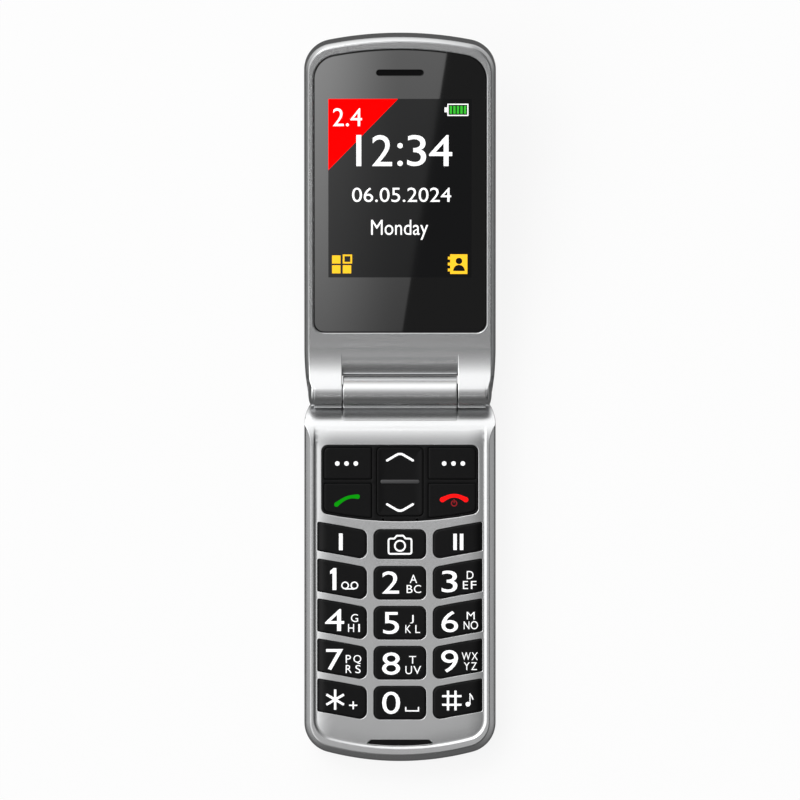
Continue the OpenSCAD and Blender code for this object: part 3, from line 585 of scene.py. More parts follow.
def prism(half: Half, profile: np.ndarray, x0: float, x1: float, edge_r: float = 0.0) -> Body:
    """A closed profile in (along, height) carried across x, its end edges rounded.

    The ring at the angle t of the rounding lies edge_r * (1 - sin t) inside the profile and
    edge_r * (1 - cos t) from the end. One more ring just beyond it keeps the long faces' shading even.

    Args:
        half: The half it belongs to.
        profile: The closed profile.
        x0: Lower end.
        x1: Upper end.
        edge_r: Radius of the end edges.

    Returns:
        The closed form.
    """
    profile = leftward(clean(profile))
    edge = np.vstack((rounding(edge_r, 4), [(0, edge_r + 0.15)])) if edge_r else np.zeros((1, 2))
    ends = [(offset(profile, inset), x0 + move) for inset, move in edge]
    ends += [(offset(profile, inset), x1 - move) for inset, move in edge[::-1]]
    return lofted(half, [np.column_stack((np.full(len(r), x), r)) for r, x in ends])


def turned_form(half: Half, profile: np.ndarray, steps: int = 72) -> Body:
    """A profile of (x, radius) turned about the hinge axis, closed by a flat face at each end."""
    turns = np.vstack((np.zeros(steps), circle((0, 0), 1, steps).T)).T
    return lofted(half, [(x, 0, 0) + turns * (0, r, r) for x, r in profile])


@dataclass
class Plate:
    """A closed plate with openings: a field of triangles on top, the same below, and walls between.

    The top edge of each ring is rounded: at the angle t its points lie fillet * (1 - sin t) inside the
    wall and fillet * (1 - cos t) below the top surface. The triangles are a constrained Delaunay net of
    the rings, the guide rings and a lattice of points, so the surface follows its height function.
    """

    outer: np.ndarray
    holes: list[np.ndarray]
    top: Height
    bottom: Height
    fillets: list[Number]
    guides: list[np.ndarray] = field(default_factory=list)
    spots: Optional[np.ndarray] = None
    step: float = 1.6
    steps: int = 4
    guard: float = 0.1
    clearance: float = 0.22

    def lattice(self, rings: list[np.ndarray]) -> np.ndarray:
        """Points inside the plate, clear of its rings.

        Args:
            rings: All rings of the net, the outer one first.

        Returns:
            Rows of two coordinates.
        """
        low, high = rings[0].min(0), rings[0].max(0)
        x, y = np.meshgrid(np.arange(low[0], high[0], self.step), np.arange(low[1], high[1], self.step))
        x = x + (np.arange(len(x)) % 2)[:, None] * self.step / 2
        points = np.column_stack((x.ravel(), y.ravel()))
        if self.spots is not None:
            points = points[reach(points, self.spots) > self.step * 0.6]
            points = np.vstack((points, self.spots))
        points = points[within(points, rings[0], rings[1:1 + len(self.holes)])]
        near = np.min([reach(points, ring) for ring in rings], axis=0)
        return points[near > min(self.clearance, self.step / 3)]

    def net(self, rings: list[np.ndarray], flat: np.ndarray) -> np.ndarray:
        """The constrained Delaunay net between the top rings.

        Args:
            rings: All rings of the net, the top edges of the outer wall and of the holes first.
            flat: The rings' points, then the lattice.

        Returns:
            Rows of three point numbers that turn left. Rings that cross raise an error.
        """
        starts = np.cumsum([0] + [len(r) for r in rings])
        edges = np.vstack([s + np.column_stack((np.arange(len(r)), np.roll(np.arange(len(r)), -1)))
                           for s, r in zip(starts, rings)])
        corners = [Vector(p) for p in flat.tolist()]
        out, _, faces, origin, _, _ = delaunay_2d_cdt(corners, edges.tolist(), [], 0, NET_TINY)
        first = np.array([o[0] if o else -1 for o in origin])
        net = first[np.array(faces)]
        if (net < 0).any() or len(out) != len(flat):
            spots = [tuple(round(c, 2) for c in p) for p, o in zip(out, origin) if not o]
            raise ValueError(f"the rings of a plate cross at {spots[:12]}, {len(out)} points for {len(flat)}")
        a, b, c = (flat[net[:, i]] for i in range(3))
        area = (b[:, 0] - a[:, 0]) * (c[:, 1] - a[:, 1]) - (b[:, 1] - a[:, 1]) * (c[:, 0] - a[:, 0])
        net[area < 0] = net[area < 0][:, ::-1]
        return net[within((a + b + c) / 3, rings[0], rings[1:1 + len(self.holes)])]

    def body(self, half: Half) -> Body:
        """Builds the plate.

        Args:
            half: The half it belongs to.

        Returns:
            The closed form.
        """
        walls = [leftward(self.outer)] + [leftward(h)[::-1] for h in self.holes]
        tops = [offset(w, f) for w, f in zip(walls, self.fillets)]
        inner = [offset(w, np.add(f, self.guard)) for w, f in zip(walls, self.fillets)] if self.guard else []
        rings = tops + inner + self.guides
        flat = np.vstack(rings + [self.lattice(rings)])
        net = self.net(rings, flat)
        starts = np.cumsum([0] + [len(w) for w in walls])
        low = flat.copy()
        low[:starts[-1]] = np.vstack(walls)
        made = Body(half)
        above = made.put(ring_at(flat, self.top(*flat.T)))
        below = made.put(ring_at(low, self.bottom(*low.T)))
        made.tris += [above[net], below[net][:, ::-1]]
        for s, w, f in zip(starts, walls, self.fillets):
            rows = [above[s:s + len(w)]]
            if np.max(f) > 0:
                for inward, down in rounding(1.0, self.steps)[1:]:
                    ring = offset(w, f * inward)
                    rows.append(made.put(ring_at(ring, self.top(*ring.T) - f * down)))
            made.strip(np.stack(rows + [below[s:s + len(w)]]))
        return made


# ---- finishes ----


class Fade(Enum):
    """How a value goes from one range to another."""

    EVEN = "LINEAR"
    SMOOTH = "SMOOTHSTEP"


@dataclass
class Tree:
    """The nodes of a material or a world."""

    owner: Union[bpy.types.Material, bpy.types.World]
    empty: bool = True

    def __post_init__(self) -> None:
        """Switches the nodes on and, unless the usual ones are wanted, clears them."""
        self.owner.use_nodes = True
        if self.empty:
            self.owner.node_tree.nodes.clear()

    def fill(self, node: bpy.types.Node, inputs: dict[Union[str, int], object]) -> None:
        """Sets a node's inputs.

        Args:
            node: The node.
            inputs: A constant, or the socket to link, for each input's name or number.
        """
        for key, value in inputs.items():
            if isinstance(value, bpy.types.NodeSocket):
                self.owner.node_tree.links.new(value, node.inputs[key])
            else:
                node.inputs[key].default_value = value

    def add(self, kind: str, inputs: dict[Union[str, int], object], **settings: object) -> bpy.types.Node:
        """Adds a node.

        Args:
            kind: Its type, without the word ShaderNode in front.
            inputs: A constant, or the socket to link, for each input's name or number.
            settings: What else is set on it, such as its operation.

        Returns:
            The node.
        """
        node = self.owner.node_tree.nodes.new("ShaderNode" + kind)
        for name, value in settings.items():
            setattr(node, name, value)
        self.fill(node, inputs)
        return node

    def math(self, operation: str, first: object, second: object) -> bpy.types.NodeSocket:
        """Joins two values, each a number or a socket, by an operation."""
        return self.add("Math", {0: first, 1: second}, operation=operation).outputs[0]

    def mapped(self, source: bpy.types.NodeSocket, old: Pair, new: Pair,
               fade: Fade = Fade.EVEN) -> bpy.types.NodeSocket:
        """Takes a value from an old range to a new one."""
        ends = {"From Min": old[0], "From Max": old[1], "To Min": new[0], "To Max": new[1]}
        return self.add("MapRange", {"Value": source, **ends}, interpolation_type=fade.value).outputs["Result"]


class Grain(Enum):
    """The small-scale surface of a finish."""

    FLAKE = "flake"
    SPECKLE = "speckle"
    BRUSHED = "brushed"
    WOVEN = "woven"


@dataclass(frozen=True)
class Finish:
    """A surface finish and its node material."""

    name: str
    colour: Colour
    metallic: float = 0.0
    roughness: float = 0.5
    gloss: float = 0.5
    grain: Grain = Grain.SPECKLE
    grain_size: float = 0.25
    grain_depth: float = 0.004
    shade: float = 0.06
    glow: float = 0.0
    broad_scale: float = 90.0
    brush: tuple[float, float, float] = (0.05, 1, 1)
    wave_turns: float = 6.3

    def material(self) -> bpy.types.Material:
        """Builds the material once and gives it again after that.

        Returns:
            A material whose colour varies by shade, whose roughness varies with the same noise and
            whose bump has grains of grain_size and grain_depth millimetres, on Object coordinates.
        """
        name = self.name + "_finish"
        if name in bpy.data.materials:
            return bpy.data.materials[name]
        made = bpy.data.materials.new(name)
        made.diffuse_color = (*self.colour, 1)
        tree = Tree(made, empty=False)
        where = tree.add("TexCoord", {}).outputs["Object"]
        if self.grain is Grain.BRUSHED:
            where = tree.add("Mapping", {"Vector": where, "Scale": self.brush}).outputs["Vector"]
        fine = self.fine(tree, where)
        broad = tree.add("TexNoise", {"Vector": where, "Scale": self.broad_scale, "Detail": 4}).outputs["Fac"]
        mean = tree.math("ADD", tree.math("MULTIPLY", fine, 0.5), tree.math("MULTIPLY", broad, 0.5))
        less, more = 1 - self.shade, 1 + self.shade
        tones = {"A": (*(c * less for c in self.colour), 1), "B": (*(min(1, c * more) for c in self.colour), 1)}
        bump = tree.add("Bump", {"Strength": 1, "Distance": self.grain_depth / 1000, "Height": fine})
        tree.fill(made.node_tree.nodes["Principled BSDF"], {
            "Metallic": self.metallic,
            "Specular IOR Level": self.gloss,
            "Emission Color": (*self.colour, 1),
            "Emission Strength": self.glow,
            "Base Color": tree.add("Mix", {"Factor": mean, **tones}, data_type="RGBA").outputs["Result"],
            "Roughness": tree.mapped(broad, (0, 1), (self.roughness * less, self.roughness * more)),
            "Normal": bump.outputs["Normal"],
        })
        return made

    def fine(self, tree: Tree, where: bpy.types.NodeSocket) -> bpy.types.NodeSocket:
        """Adds the fine grain.

        Args:
            tree: The material's nodes.
            where: The coordinates to use.

        Returns:
            The socket that carries the grain's height, from 0 to 1.
        """
        place = {"Vector": where, "Scale": 1000 / self.grain_size}
        if self.grain is Grain.FLAKE:
            return tree.add("TexVoronoi", place).outputs["Distance"]
        if self.grain is Grain.WOVEN:
            place["Scale"] /= self.wave_turns
            waves = [tree.add("TexWave", place, bands_direction=axis).outputs["Fac"] for axis in ("X", "Y")]
            return tree.math("MAXIMUM", *waves)
        return tree.add("TexNoise", {**place, "Detail": 2}).outputs["Fac"]


def silver(name: str, colour: Colour, roughness: float) -> Finish:
    """Metallic paint with fine flakes."""
    return Finish(name, colour, 1.0, roughness, 0.5, Grain.FLAKE, 0.1, 0.0002, 0.03)


def pixels(name: str, colour: Colour, gloss: float, glow: float, shade: float = 0.02) -> Finish:
    """A lit colour of the display's picture."""
    return Finish(name, colour, 0.0, 0.3, gloss, Grain.SPECKLE, 0.3, 0.0005, shade, glow)


def ink(name: str, colour: Colour, gloss: float, glow: float = 0.0, shade: float = 0.03) -> Finish:
    """A printed sign on a key; a glow given here is painted light that makes the print brighter than the lamps light
    it.
    """
    return Finish(name, colour, 0.0, 0.45, gloss, Grain.SPECKLE, 0.25, 0.001, shade, glow)


def metal(name: str, colour: Colour, roughness: float, size: float, depth: float = 0.002) -> Finish:
    """Bare metal, brushed across the phone."""
    return Finish(name, colour, 1.0, roughness, 0.5, Grain.BRUSHED, size, depth)


SILVER_FRONT = silver("silver_front_paint", (0.72, 0.725, 0.73), 0.25)
SILVER_REAR = silver("silver_rear_paint", (0.69, 0.695, 0.7), 0.26)
SILVER_CAP = silver("silver_cap_paint", (0.72, 0.725, 0.73), 0.2)
LENS_BLACK = Finish("lens_gloss_black", (0.0015, 0.0015, 0.0016), 0.0, 0.01, 0.5, Grain.SPECKLE, 9.0, 0.00008,
                    0.1)
DISPLAY_DARK = Finish("display_dark", (0.0065, 0.0066, 0.007), 0.0, 0.02, 0.12, Grain.SPECKLE, 9.0, 0.0003,
                      0.05, 0.3)
DISPLAY_WHITE = pixels("display_white", (0.95, 0.95, 0.95), 0.15, 0.6)
DISPLAY_RED = pixels("display_red", (1.0, 0.0, 0.0), 0.04, 0.7, 0.0)
DISPLAY_YELLOW = pixels("display_yellow", (1.0, 0.56, 0.025), 0.08, 0.6)
DISPLAY_GREEN = pixels("display_green", (0.05, 0.6, 0.04), 0.12, 0.3)
NAV_BLACK = Finish("nav_frame_black", (0.005, 0.005, 0.0053), 0.0, 0.3, 0.16, Grain.SPECKLE, 0.2, 0.002, 0.08)
KEY_CHARCOAL = Finish("key_charcoal", (0.0045, 0.0045, 0.0048), 0.0, 0.3, 0.16, Grain.SPECKLE, 0.18, 0.002, 0.1)
# The rocker's raised bar is drawn a lighter grey than the key it stands on: a painted highlight along its top.
KEY_BAR_PAINTED_HIGHLIGHT = Finish("key_bar", (0.07, 0.07, 0.072), 0.0, 0.3, 0.4, Grain.SPECKLE, 0.18, 0.001, 0.08)
# The white, green and red signs glow: painted light that brightens the print on the keys beyond what the lamps give.
PRINT_WHITE_PAINTED_GLOW = ink("print_white_painted_glow", (0.93, 0.935, 0.94), 0.2, 0.45, 0.02)
PRINT_GREEN_PAINTED_GLOW = ink("print_green_painted_glow", (0.0, 0.27, 0.0), 0.1, 0.5)
PRINT_RED_PAINTED_GLOW = ink("print_red_painted_glow", (0.95, 0.004, 0.004), 0.1, 0.6)
PRINT_DARK_RED = ink("print_dark_red", (0.42, 0.008, 0.015), 0.2)

SLOT_FINISHES = {
    "silver_front": SILVER_FRONT,
    "silver_rear": SILVER_REAR,
    "silver_cap": SILVER_CAP,
    "lens_black": LENS_BLACK,
    "display_face": Finish("display_back_plate", (0.30, 0.31, 0.33), 0.7, 0.35, 0.5, Grain.BRUSHED, 0.2, 0.002),
    "nav_black": NAV_BLACK,
    "key_charcoal": KEY_CHARCOAL,
    "black_trim": Finish("black_trim", (0.003, 0.003, 0.0033), 0.0, 0.5, 0.12, Grain.WOVEN, 0.35, 0.02, 0.1),
    "grey_rubber": Finish("grey_rubber", (0.09, 0.092, 0.095), 0.0, 0.75, 0.3, Grain.SPECKLE, 0.3, 0.01),
    "battery_sleeve": Finish("battery_sleeve", (0.10, 0.105, 0.115), 0.0, 0.5, 0.4, Grain.SPECKLE, 0.5, 0.005),
    "board_green": Finish("board_green", (0.01, 0.085, 0.04), 0.0, 0.4, 0.5, Grain.WOVEN, 0.5, 0.01, 0.15),
    "tinned_steel": metal("tinned_steel", (0.62, 0.62, 0.6), 0.32, 0.15),
    "steel": metal("steel", (0.5, 0.51, 0.53), 0.3, 0.12),
    "gold_contact": metal("gold_contact", (0.8, 0.55, 0.2), 0.25, 0.12, 0.001),
    "flex_amber": Finish("flex_amber", (0.45, 0.17, 0.03), 0.0, 0.35, 0.5, Grain.BRUSHED, 0.4, 0.004, 0.12),
    "flash_white": Finish("flash_white", (0.8, 0.78, 0.66), 0.0, 0.2, 0.5, Grain.WOVEN, 0.3, 0.02),
}


# ---- pieces ----


class Keep(Enum):
    """What a carving keeps of a piece."""

    OUTSIDE = "DIFFERENCE"
    INSIDE = "INTERSECT"


def link(name: str, data: bpy.types.ID) -> bpy.types.Object:
    """Puts data into the scene as an object.

    Args:
        name: The object's name.
        data: Its mesh, light or camera.

    Returns:
        The object.
    """
    made = bpy.data.objects.new(name, data)
    bpy.context.scene.collection.objects.link(made)
    return made


def sheet(name: str, corners: Points, material: bpy.types.Material) -> bpy.types.Object:
    """A single flat face for the stage.

    Args:
        name: The object's name.
        corners: Its corners in metres.
        material: What it is made of.

    Returns:
        The object.
    """
    mesh = bpy.data.meshes.new(name)
    mesh.from_pydata(corners, [], [tuple(range(len(corners)))])
    mesh.materials.append(material)
    made = link(name, mesh)
    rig.stage(made)
    return made


def make(name: str, bodies: Sequence[Body], finishes: Sequence[Finish], slot: str, body: str,
         replaces: Sequence[str] = (), weld: bool = False, sharp: float = 32.0) -> bpy.types.Object:
    """Makes one piece from closed forms and lets it ride.

    Args:
        name: The piece's name.
        bodies: Its closed forms.
        finishes: One finish for each tone that the forms name.
        slot: The record's material slot.
        body: The body that it rides on.
        replaces: The CAD nodes that it stands for.
        weld: Whether doubled points are merged, as lettering needs.
        sharp: Edges with a larger angle, in degrees, stay sharp.

    Returns:
        The object.
    """
    points, faces, tones, start = [], [], [], 0
    for b in bodies:
        p, f = b.placed()
        points.append(p)
        faces += [[i + start for i in face] for face in f]
        tones += [b.tone] * len(f)
        start += len(p)
    mesh = bpy.data.meshes.new(name)
    mesh.from_pydata(np.vstack(points), [], faces)
    mesh.polygons.foreach_set("material_index", tones)
    if weld:
        net = bmesh.new()
        net.from_mesh(mesh)
        bmesh.ops.remove_doubles(net, verts=net.verts, dist=WELD_REACH)
        net.to_mesh(mesh)
        net.free()
    piece = link(name, mesh)
    for finish in finishes:
        mesh.materials.append(finish.material())
    shade(piece, sharp)
    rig.ride(piece, body)
    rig.slot(piece, slot)
    if replaces:
        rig.replaces(piece, *replaces)
    return piece


def shade(piece: bpy.types.Object, sharp: float) -> None:
    """Smooths a piece's faces except across edges with a larger angle than sharp, in degrees."""
    piece.data.shade_smooth()
    piece.data.set_sharp_from_angle(angle=math.radians(sharp))


def weigh(piece: bpy.types.Object) -> None:
    """Lets large faces lead the normals, so that flat areas beside a rounding stay flat."""
    even = piece.modifiers.new("even", "WEIGHTED_NORMAL")
    even.keep_sharp, even.weight = True, FLAT_WEIGHT


def carve(piece: bpy.types.Object, cuts: Sequence[Body], keep: Keep = Keep.OUTSIDE) -> None:
    """Changes a piece by exact booleans with closed forms.

    Args:
        piece: The piece to change.
        cuts: The closed forms.
        keep: Which part of the piece stays.
    """
    tools = []
    for i, cut in enumerate(cuts):
        p, f = cut.placed()
        mesh = bpy.data.meshes.new(f"cut_{i}")
        mesh.from_pydata(p, [], f)
        tools.append(link(f"cut_{i}", mesh))
        step = piece.modifiers.new(f"cut_{i}", "BOOLEAN")
        step.object, step.operation, step.solver = tools[-1], keep.value, "EXACT"
    done = bpy.data.meshes.new_from_object(piece.evaluated_get(bpy.context.evaluated_depsgraph_get()))
    piece.modifiers.clear()
    old, piece.data = piece.data, done
    done.name = piece.name
    bpy.data.meshes.remove(old)
    for tool in tools:
        bpy.data.meshes.remove(tool.data)
    shade(piece, HOUSING_SHARP)


def post(half: Half, at: Sequence[float], r: float, low: float, high: float, steps: int = 40) -> Body:
    """A round post, used to cut."""
    return extrude(half, circle(at, r, steps), low, high)


# ---- marks: lettering and strokes ----


def read(items: bpy.types.bpy_prop_collection, name: str, kind: type, width: int = 1) -> np.ndarray:
    """Reads one attribute of all items of a mesh as an array."""
    values = np.zeros(len(items) * width, kind)
    items.foreach_get(name, values)
    return values


@dataclass(frozen=True)
class Marks:
    """Thin closed marks that lie on a surface given by its height function."""

    half: Half
    surface: Height
    low: float = -0.02
    high: float = 0.03

    def slab(self, ring: Points, tone: int = 0) -> Body:
        """A closed slab with the outline of a ring, on the surface."""
        ring = clean(np.asarray(ring, float))
        return extrude(self.half, ring, *(self.surface(*ring.T) + h for h in (self.low, self.high)), tone)

    def hoop(self, outer: np.ndarray, inner: np.ndarray) -> Body:
        """A closed band between two rings with the same number of points.

        Args:
            outer: The outer ring.
            inner: The inner ring.

        Returns:
            The closed form.
        """
        around = ((outer, self.low), (outer, self.high), (inner, self.high), (inner, self.low))
        body = Body(self.half)
        n = body.put(np.stack([ring_at(r, self.surface(*r.T) + h) for r, h in around]))
        body.strip(np.vstack((n, n[:1])))
        return body

    def stroke(self, points: Points, width: Number, tone: int = 0, round_ends: bool = True) -> Body:
        """A line of points given a width.

        The outline follows the points at half the width on the left, turns round the end on a half
        circle, comes back on the right and turns round the start.

        Args:
            points: The points of the line.
            width: Its width, or one for each point.
            tone: Which of the piece's materials it takes.
            round_ends: Whether the ends are half circles.

        Returns:
            The closed form.
        """
        p = np.asarray(points, float)
        w = np.broadcast_to(width, len(p)) / 2
        run = unit(np.diff(p, axis=0))
        side = mitre(np.vstack((run[:1], run)), np.vstack((run, run[-1:])), STROKE_MITRE) * w[:, None]
        if not round_ends:
            return self.slab(np.vstack((p + side, (p - side)[::-1])), tone)
        start, end = (math.degrees(math.atan2(y, x)) for x, y in (run[0], run[-1]))
        tip, tail = arc(p[-1], w[-1], end + 90, end - 90, 10), arc(p[0], w[0], start - 90, start - 270, 10)
        return self.slab(np.vstack((p + side, tip[1:-1], (p - side)[::-1], tail[1:-1])), tone)

    def disc(self, at: Sequence[float], r: float, tone: int = 0) -> Body:
        """A round dot."""
        return self.slab(circle(at, r, 28), tone)

    def text(self, words: str, x0: float, s0: float, x1: float, s1: float) -> Body:
        """Lettering fitted to a box.

        The glyphs' outlines and their filled faces come from a text curve that is made a mesh, and
        each point then goes to its share of the box.

        Args:
            words: The text.
            x0: Left edge of the box.
            s0: Where the foot of the text stands.
            x1: Right edge of the box.
            s1: Where the head of the text reaches.

        Returns:
            The closed form.
        """
        curve = bpy.data.curves.new("words", "FONT")
        curve.body, curve.extrude, curve.resolution_u = words, 0.5, 4
        holder = bpy.data.objects.new("words", curve)
        mesh = holder.to_mesh()
        co = read(mesh.vertices, "co", float, 3).reshape(-1, 3)
        faces = np.split(read(mesh.loops, "vertex_index", int),
                         np.cumsum(read(mesh.polygons, "loop_total", int))[:-1])
        holder.to_mesh_clear()
        bpy.data.objects.remove(holder)
        bpy.data.curves.remove(curve)
        x, s, depth = ((co - co.min(0)) / (co.max(0) - co.min(0))).T
        flat = np.column_stack((x0 + x * (x1 - x0), s0 + s * (s1 - s0)))
        body = Body(self.half)
        body.put(ring_at(flat, self.surface(*flat.T) + np.where(depth > 0.5, self.high, self.low)))
        body.caps += faces
        return body


# ---- keys ----


Outline = Callable[[float], np.ndarray]


@dataclass(frozen=True)
class KeyForm:
    """The build of a key: a flange, a straight wall, a rounded edge and a crowned top."""

    low: float
    high: float
    width: float
    fillet: float
    net: float = 0.7
    shares: tuple[float, ...] = (0.93, 0.8, 0.6, 0.4, 0.2)

    def body(self, ring: Outline, top: Height) -> Body:
        """Builds the key.

        The top's rings are the edge ring scaled towards its middle, each at the height function, and
        the last one is closed by a fan of triangles about the middle point.

        Args:
            ring: The key's outline as a function of how far it grows.
            top: Height of the top.

        Returns:
            The closed form.
        """
        wall = leftward(densify(ring(0), self.net))
        wide = offset(wall, -self.width)
        rows = [ring_at(wide, self.low), ring_at(wide, self.high), ring_at(wall, self.high)]
        for inward, down in rounding(self.fillet, 5)[::-1]:
            r = offset(wall, inward)
            rows.append(ring_at(r, top(*r.T) - down))
        edge = rows[-1][:, :2]
        middle = edge.mean(0)
        rings = [middle + (edge - middle) * share for share in self.shares]
        body = Body(Half.BASE)
        n = body.loft(np.stack(rows + [ring_at(r, top(*r.T)) for r in rings]), last=False)
        tip = body.put(ring_at(middle[None], top(*middle[None].T)))
        body.tris.append(np.column_stack((np.roll(n[-1], -1), n[-1], np.full(len(n[-1]), tip[0]))))
        return body


def asterisk(centre: Sequence[float], r: float, width: float) -> np.ndarray:
    """Outline of six straight arms: two corners at the end of each arm, and a notch between arms.

    Args:
        centre: Its middle.
        r: Length of an arm.
        width: Width of an arm.

    Returns:
        The closed ring.
    """
    a = np.radians(90 + 60 * np.arange(6))[:, None]
    along, side = np.hstack((np.cos(a), np.sin(a))), np.hstack((-np.sin(a), np.cos(a))) * width / 2
    notch = np.hstack((np.cos(a + math.pi / 6), np.sin(a + math.pi / 6))) * width
    return np.stack((along * r - side, along * r + side, notch), axis=1).reshape(-1, 2) + centre


@dataclass
class Keypad:
    """The fifteen keys of the pad, their crowned caps and their legends."""

    key_w: float = 13.3
    corner_r: float = 1.7
    side_in: float = 8.85
    side_out: float = 21.35
    slant: float = 2.1
    bow: float = 0.58
    side_lift: tuple[float, ...] = (0.3, 0.3, 0.1, -0.05, 0.2, 0.2)
    side_radii: tuple[float, ...] = (1.8, 30, 0.4, 0.4, 30, 1.8)
    row_v: float = 49.9
    row_pitch: float = 10.45
    key_h: float = 8.3
    fn_h: float = 7.3
    fn_v: float = 39.78
    top_z: float = 11.45
    form: KeyForm = KeyForm(9.25, 9.55, 0.55, 0.22)
    crown: float = 0.012
    crown_v: float = 4.0
    round_start: float = 19.7
    round_end: float = 1.05
    round_drop: float = 0.5
    round_power: float = 2.2
    text: dict[str, tuple] = field(default_factory=lambda: {
        "key_2": (("2", -4.68, 46.87, -0.24, 52.7), ("A", 2.56, 47.73, 4.47, 49.93),
                  ("B", 1.73, 50.45, 3.29, 52.54), ("C", 3.63, 50.45, 5.52, 52.54)),
        "key_3": (("3", 10.87, 46.69, 15.0, 52.38), ("D", 17.46, 46.79, 19.21, 48.88),
                  ("E", 16.44, 49.4, 17.8, 51.5), ("F", 18.53, 49.4, 19.97, 51.5)),
        "key_4": (("4", -19.58, 56.72, -14.61, 62.47), ("G", -12.83, 58.03, -10.95, 60.12),
                  ("H", -13.57, 60.64, -12.0, 62.74), ("I", -10.9, 60.64, -10.48, 62.74)),
        "key_5": (("5", -4.42, 57.51, -0.24, 63.26), ("J", 2.64, 58.29, 3.58, 60.49),
                  ("K", 1.41, 60.91, 2.9, 63.0), ("L", 4.0, 60.91, 5.25, 63.0)),
        "key_6": (("6", 10.82, 57.25, 15.19, 62.81), ("M", 17.44, 57.46, 19.53, 59.44),
                  ("N", 16.65, 59.94, 18.14, 62.0), ("O", 18.45, 59.86, 20.4, 62.03)),
        "key_7": (("7", -19.32, 67.18, -14.87, 72.67), ("P", -14.19, 68.75, -12.83, 70.84),
                  ("Q", -12.18, 68.75, -10.12, 71.1), ("R", -14.19, 71.36, -12.63, 73.45),
                  ("S", -11.68, 71.36, -10.27, 73.51)),
        "key_8": (("8", -4.68, 68.07, 0.03, 73.92), ("T", 2.38, 69.01, 4.21, 71.0),
                  ("U", 1.41, 71.62, 3.14, 73.77), ("V", 3.48, 71.62, 5.52, 73.71)),
        "key_9": (("9", 10.74, 67.44, 15.19, 73.3), ("W", 16.13, 68.04, 18.48, 70.06),
                  ("X", 18.69, 68.04, 20.36, 70.06), ("Y", 16.68, 70.66, 18.22, 72.67),
                  ("Z", 18.59, 70.66, 20.1, 72.67)),
        "key_star": (("+", -13.31, 80.85, -11.16, 82.94),),
        "key_0": (("0", -4.68, 78.32, 0.03, 84.17),),
    })

    def mid_ring(self, v: float, h: float, grow: float) -> np.ndarray:
        """Outline of a middle key: a rounded rectangle."""
        x, d = self.key_w / 2 + grow, h / 2 + grow
        return bar(-x, v - d, x, v + d, self.corner_r)

    def side_ring(self, side: int, v: float, h: float, grow: float) -> np.ndarray:
        """Outline of a side key, whose cross edges bow up towards the hinge as they go outwards.

        Args:
            side: -1 for the left column, 1 for the right one.
            v: Middle of its inner edge.
            h: Its height.
            grow: How far the outline grows.

        Returns:
            The closed ring.
        """
        a, b, d = self.side_in - grow, self.side_out + grow, h / 2 + grow
        x = [a, (a + b) / 2, b, b, (a + b) / 2, a]
        fall = self.slant * np.array([0, self.bow, 1, 1, self.bow, 0])
        s = v + np.repeat((-d, d), 3) - fall + self.side_lift
        return rounded(np.column_stack((x, s)), self.side_radii) * (side, 1)

    def keys(self) -> dict[str, Outline]:
        """All keys of the pad, row by row.

        Returns:
            The outline of each node as a function of how far it grows.
        """
        found = {}
        for i, name in enumerate(("m1", "camera", "m2", *"123456789", "star", "0", "hash")):
            row, side = i // 3, i % 3 - 1
            v, h = (self.row_v + (row - 1) * self.row_pitch, self.key_h) if row else (self.fn_v, self.fn_h)
            found["key_" + name] = partial(self.side_ring, side, v, h) if side else partial(self.mid_ring, v, h)
        return found

    def top(self, ring: Outline) -> Height:
        """Height of a key's cap: a slight crown, rolled over towards the side of the phone.

        Args:
            ring: The key's outline.

        Returns:
            top_z - crown * (distance from the middle / crown_v)^2 - round_drop * t^2.2, where t goes
            from 0 at round_start to 1 at the outer edge.
        """
        middle = ring(0).mean(0)[1]

        def height(x: np.ndarray, v: np.ndarray) -> np.ndarray:
            """The crown and the roll-over at each place."""
            t = np.clip((np.abs(x) - self.round_start) / (self.side_out - self.round_start), 0, self.round_end)
            crown = self.crown * ((v - middle) / self.crown_v) ** 2
            return self.top_z - crown - self.round_drop * t**self.round_power

        return height

    def build(self) -> None:
        """Makes every key with its legend."""
        for node, ring in self.keys().items():
            top = self.top(ring)
            make(node + "_cap", [self.form.body(ring, top)], [KEY_CHARCOAL], "key_charcoal", node, [node],
                 sharp=KEY_SHARP)
            marks = Marks(Half.BASE, top)
            letters = [marks.text(t, x0, v1, x1, v0) for t, x0, v0, x1, v1 in self.text.get(node, ())]
            make(node + "_legend", letters + self.signs(node, marks), [PRINT_WHITE_PAINTED_GLOW], "key_charcoal", node,
                 weld=True)
        log.info("keypad: %d keys with legends", len(self.keys()))

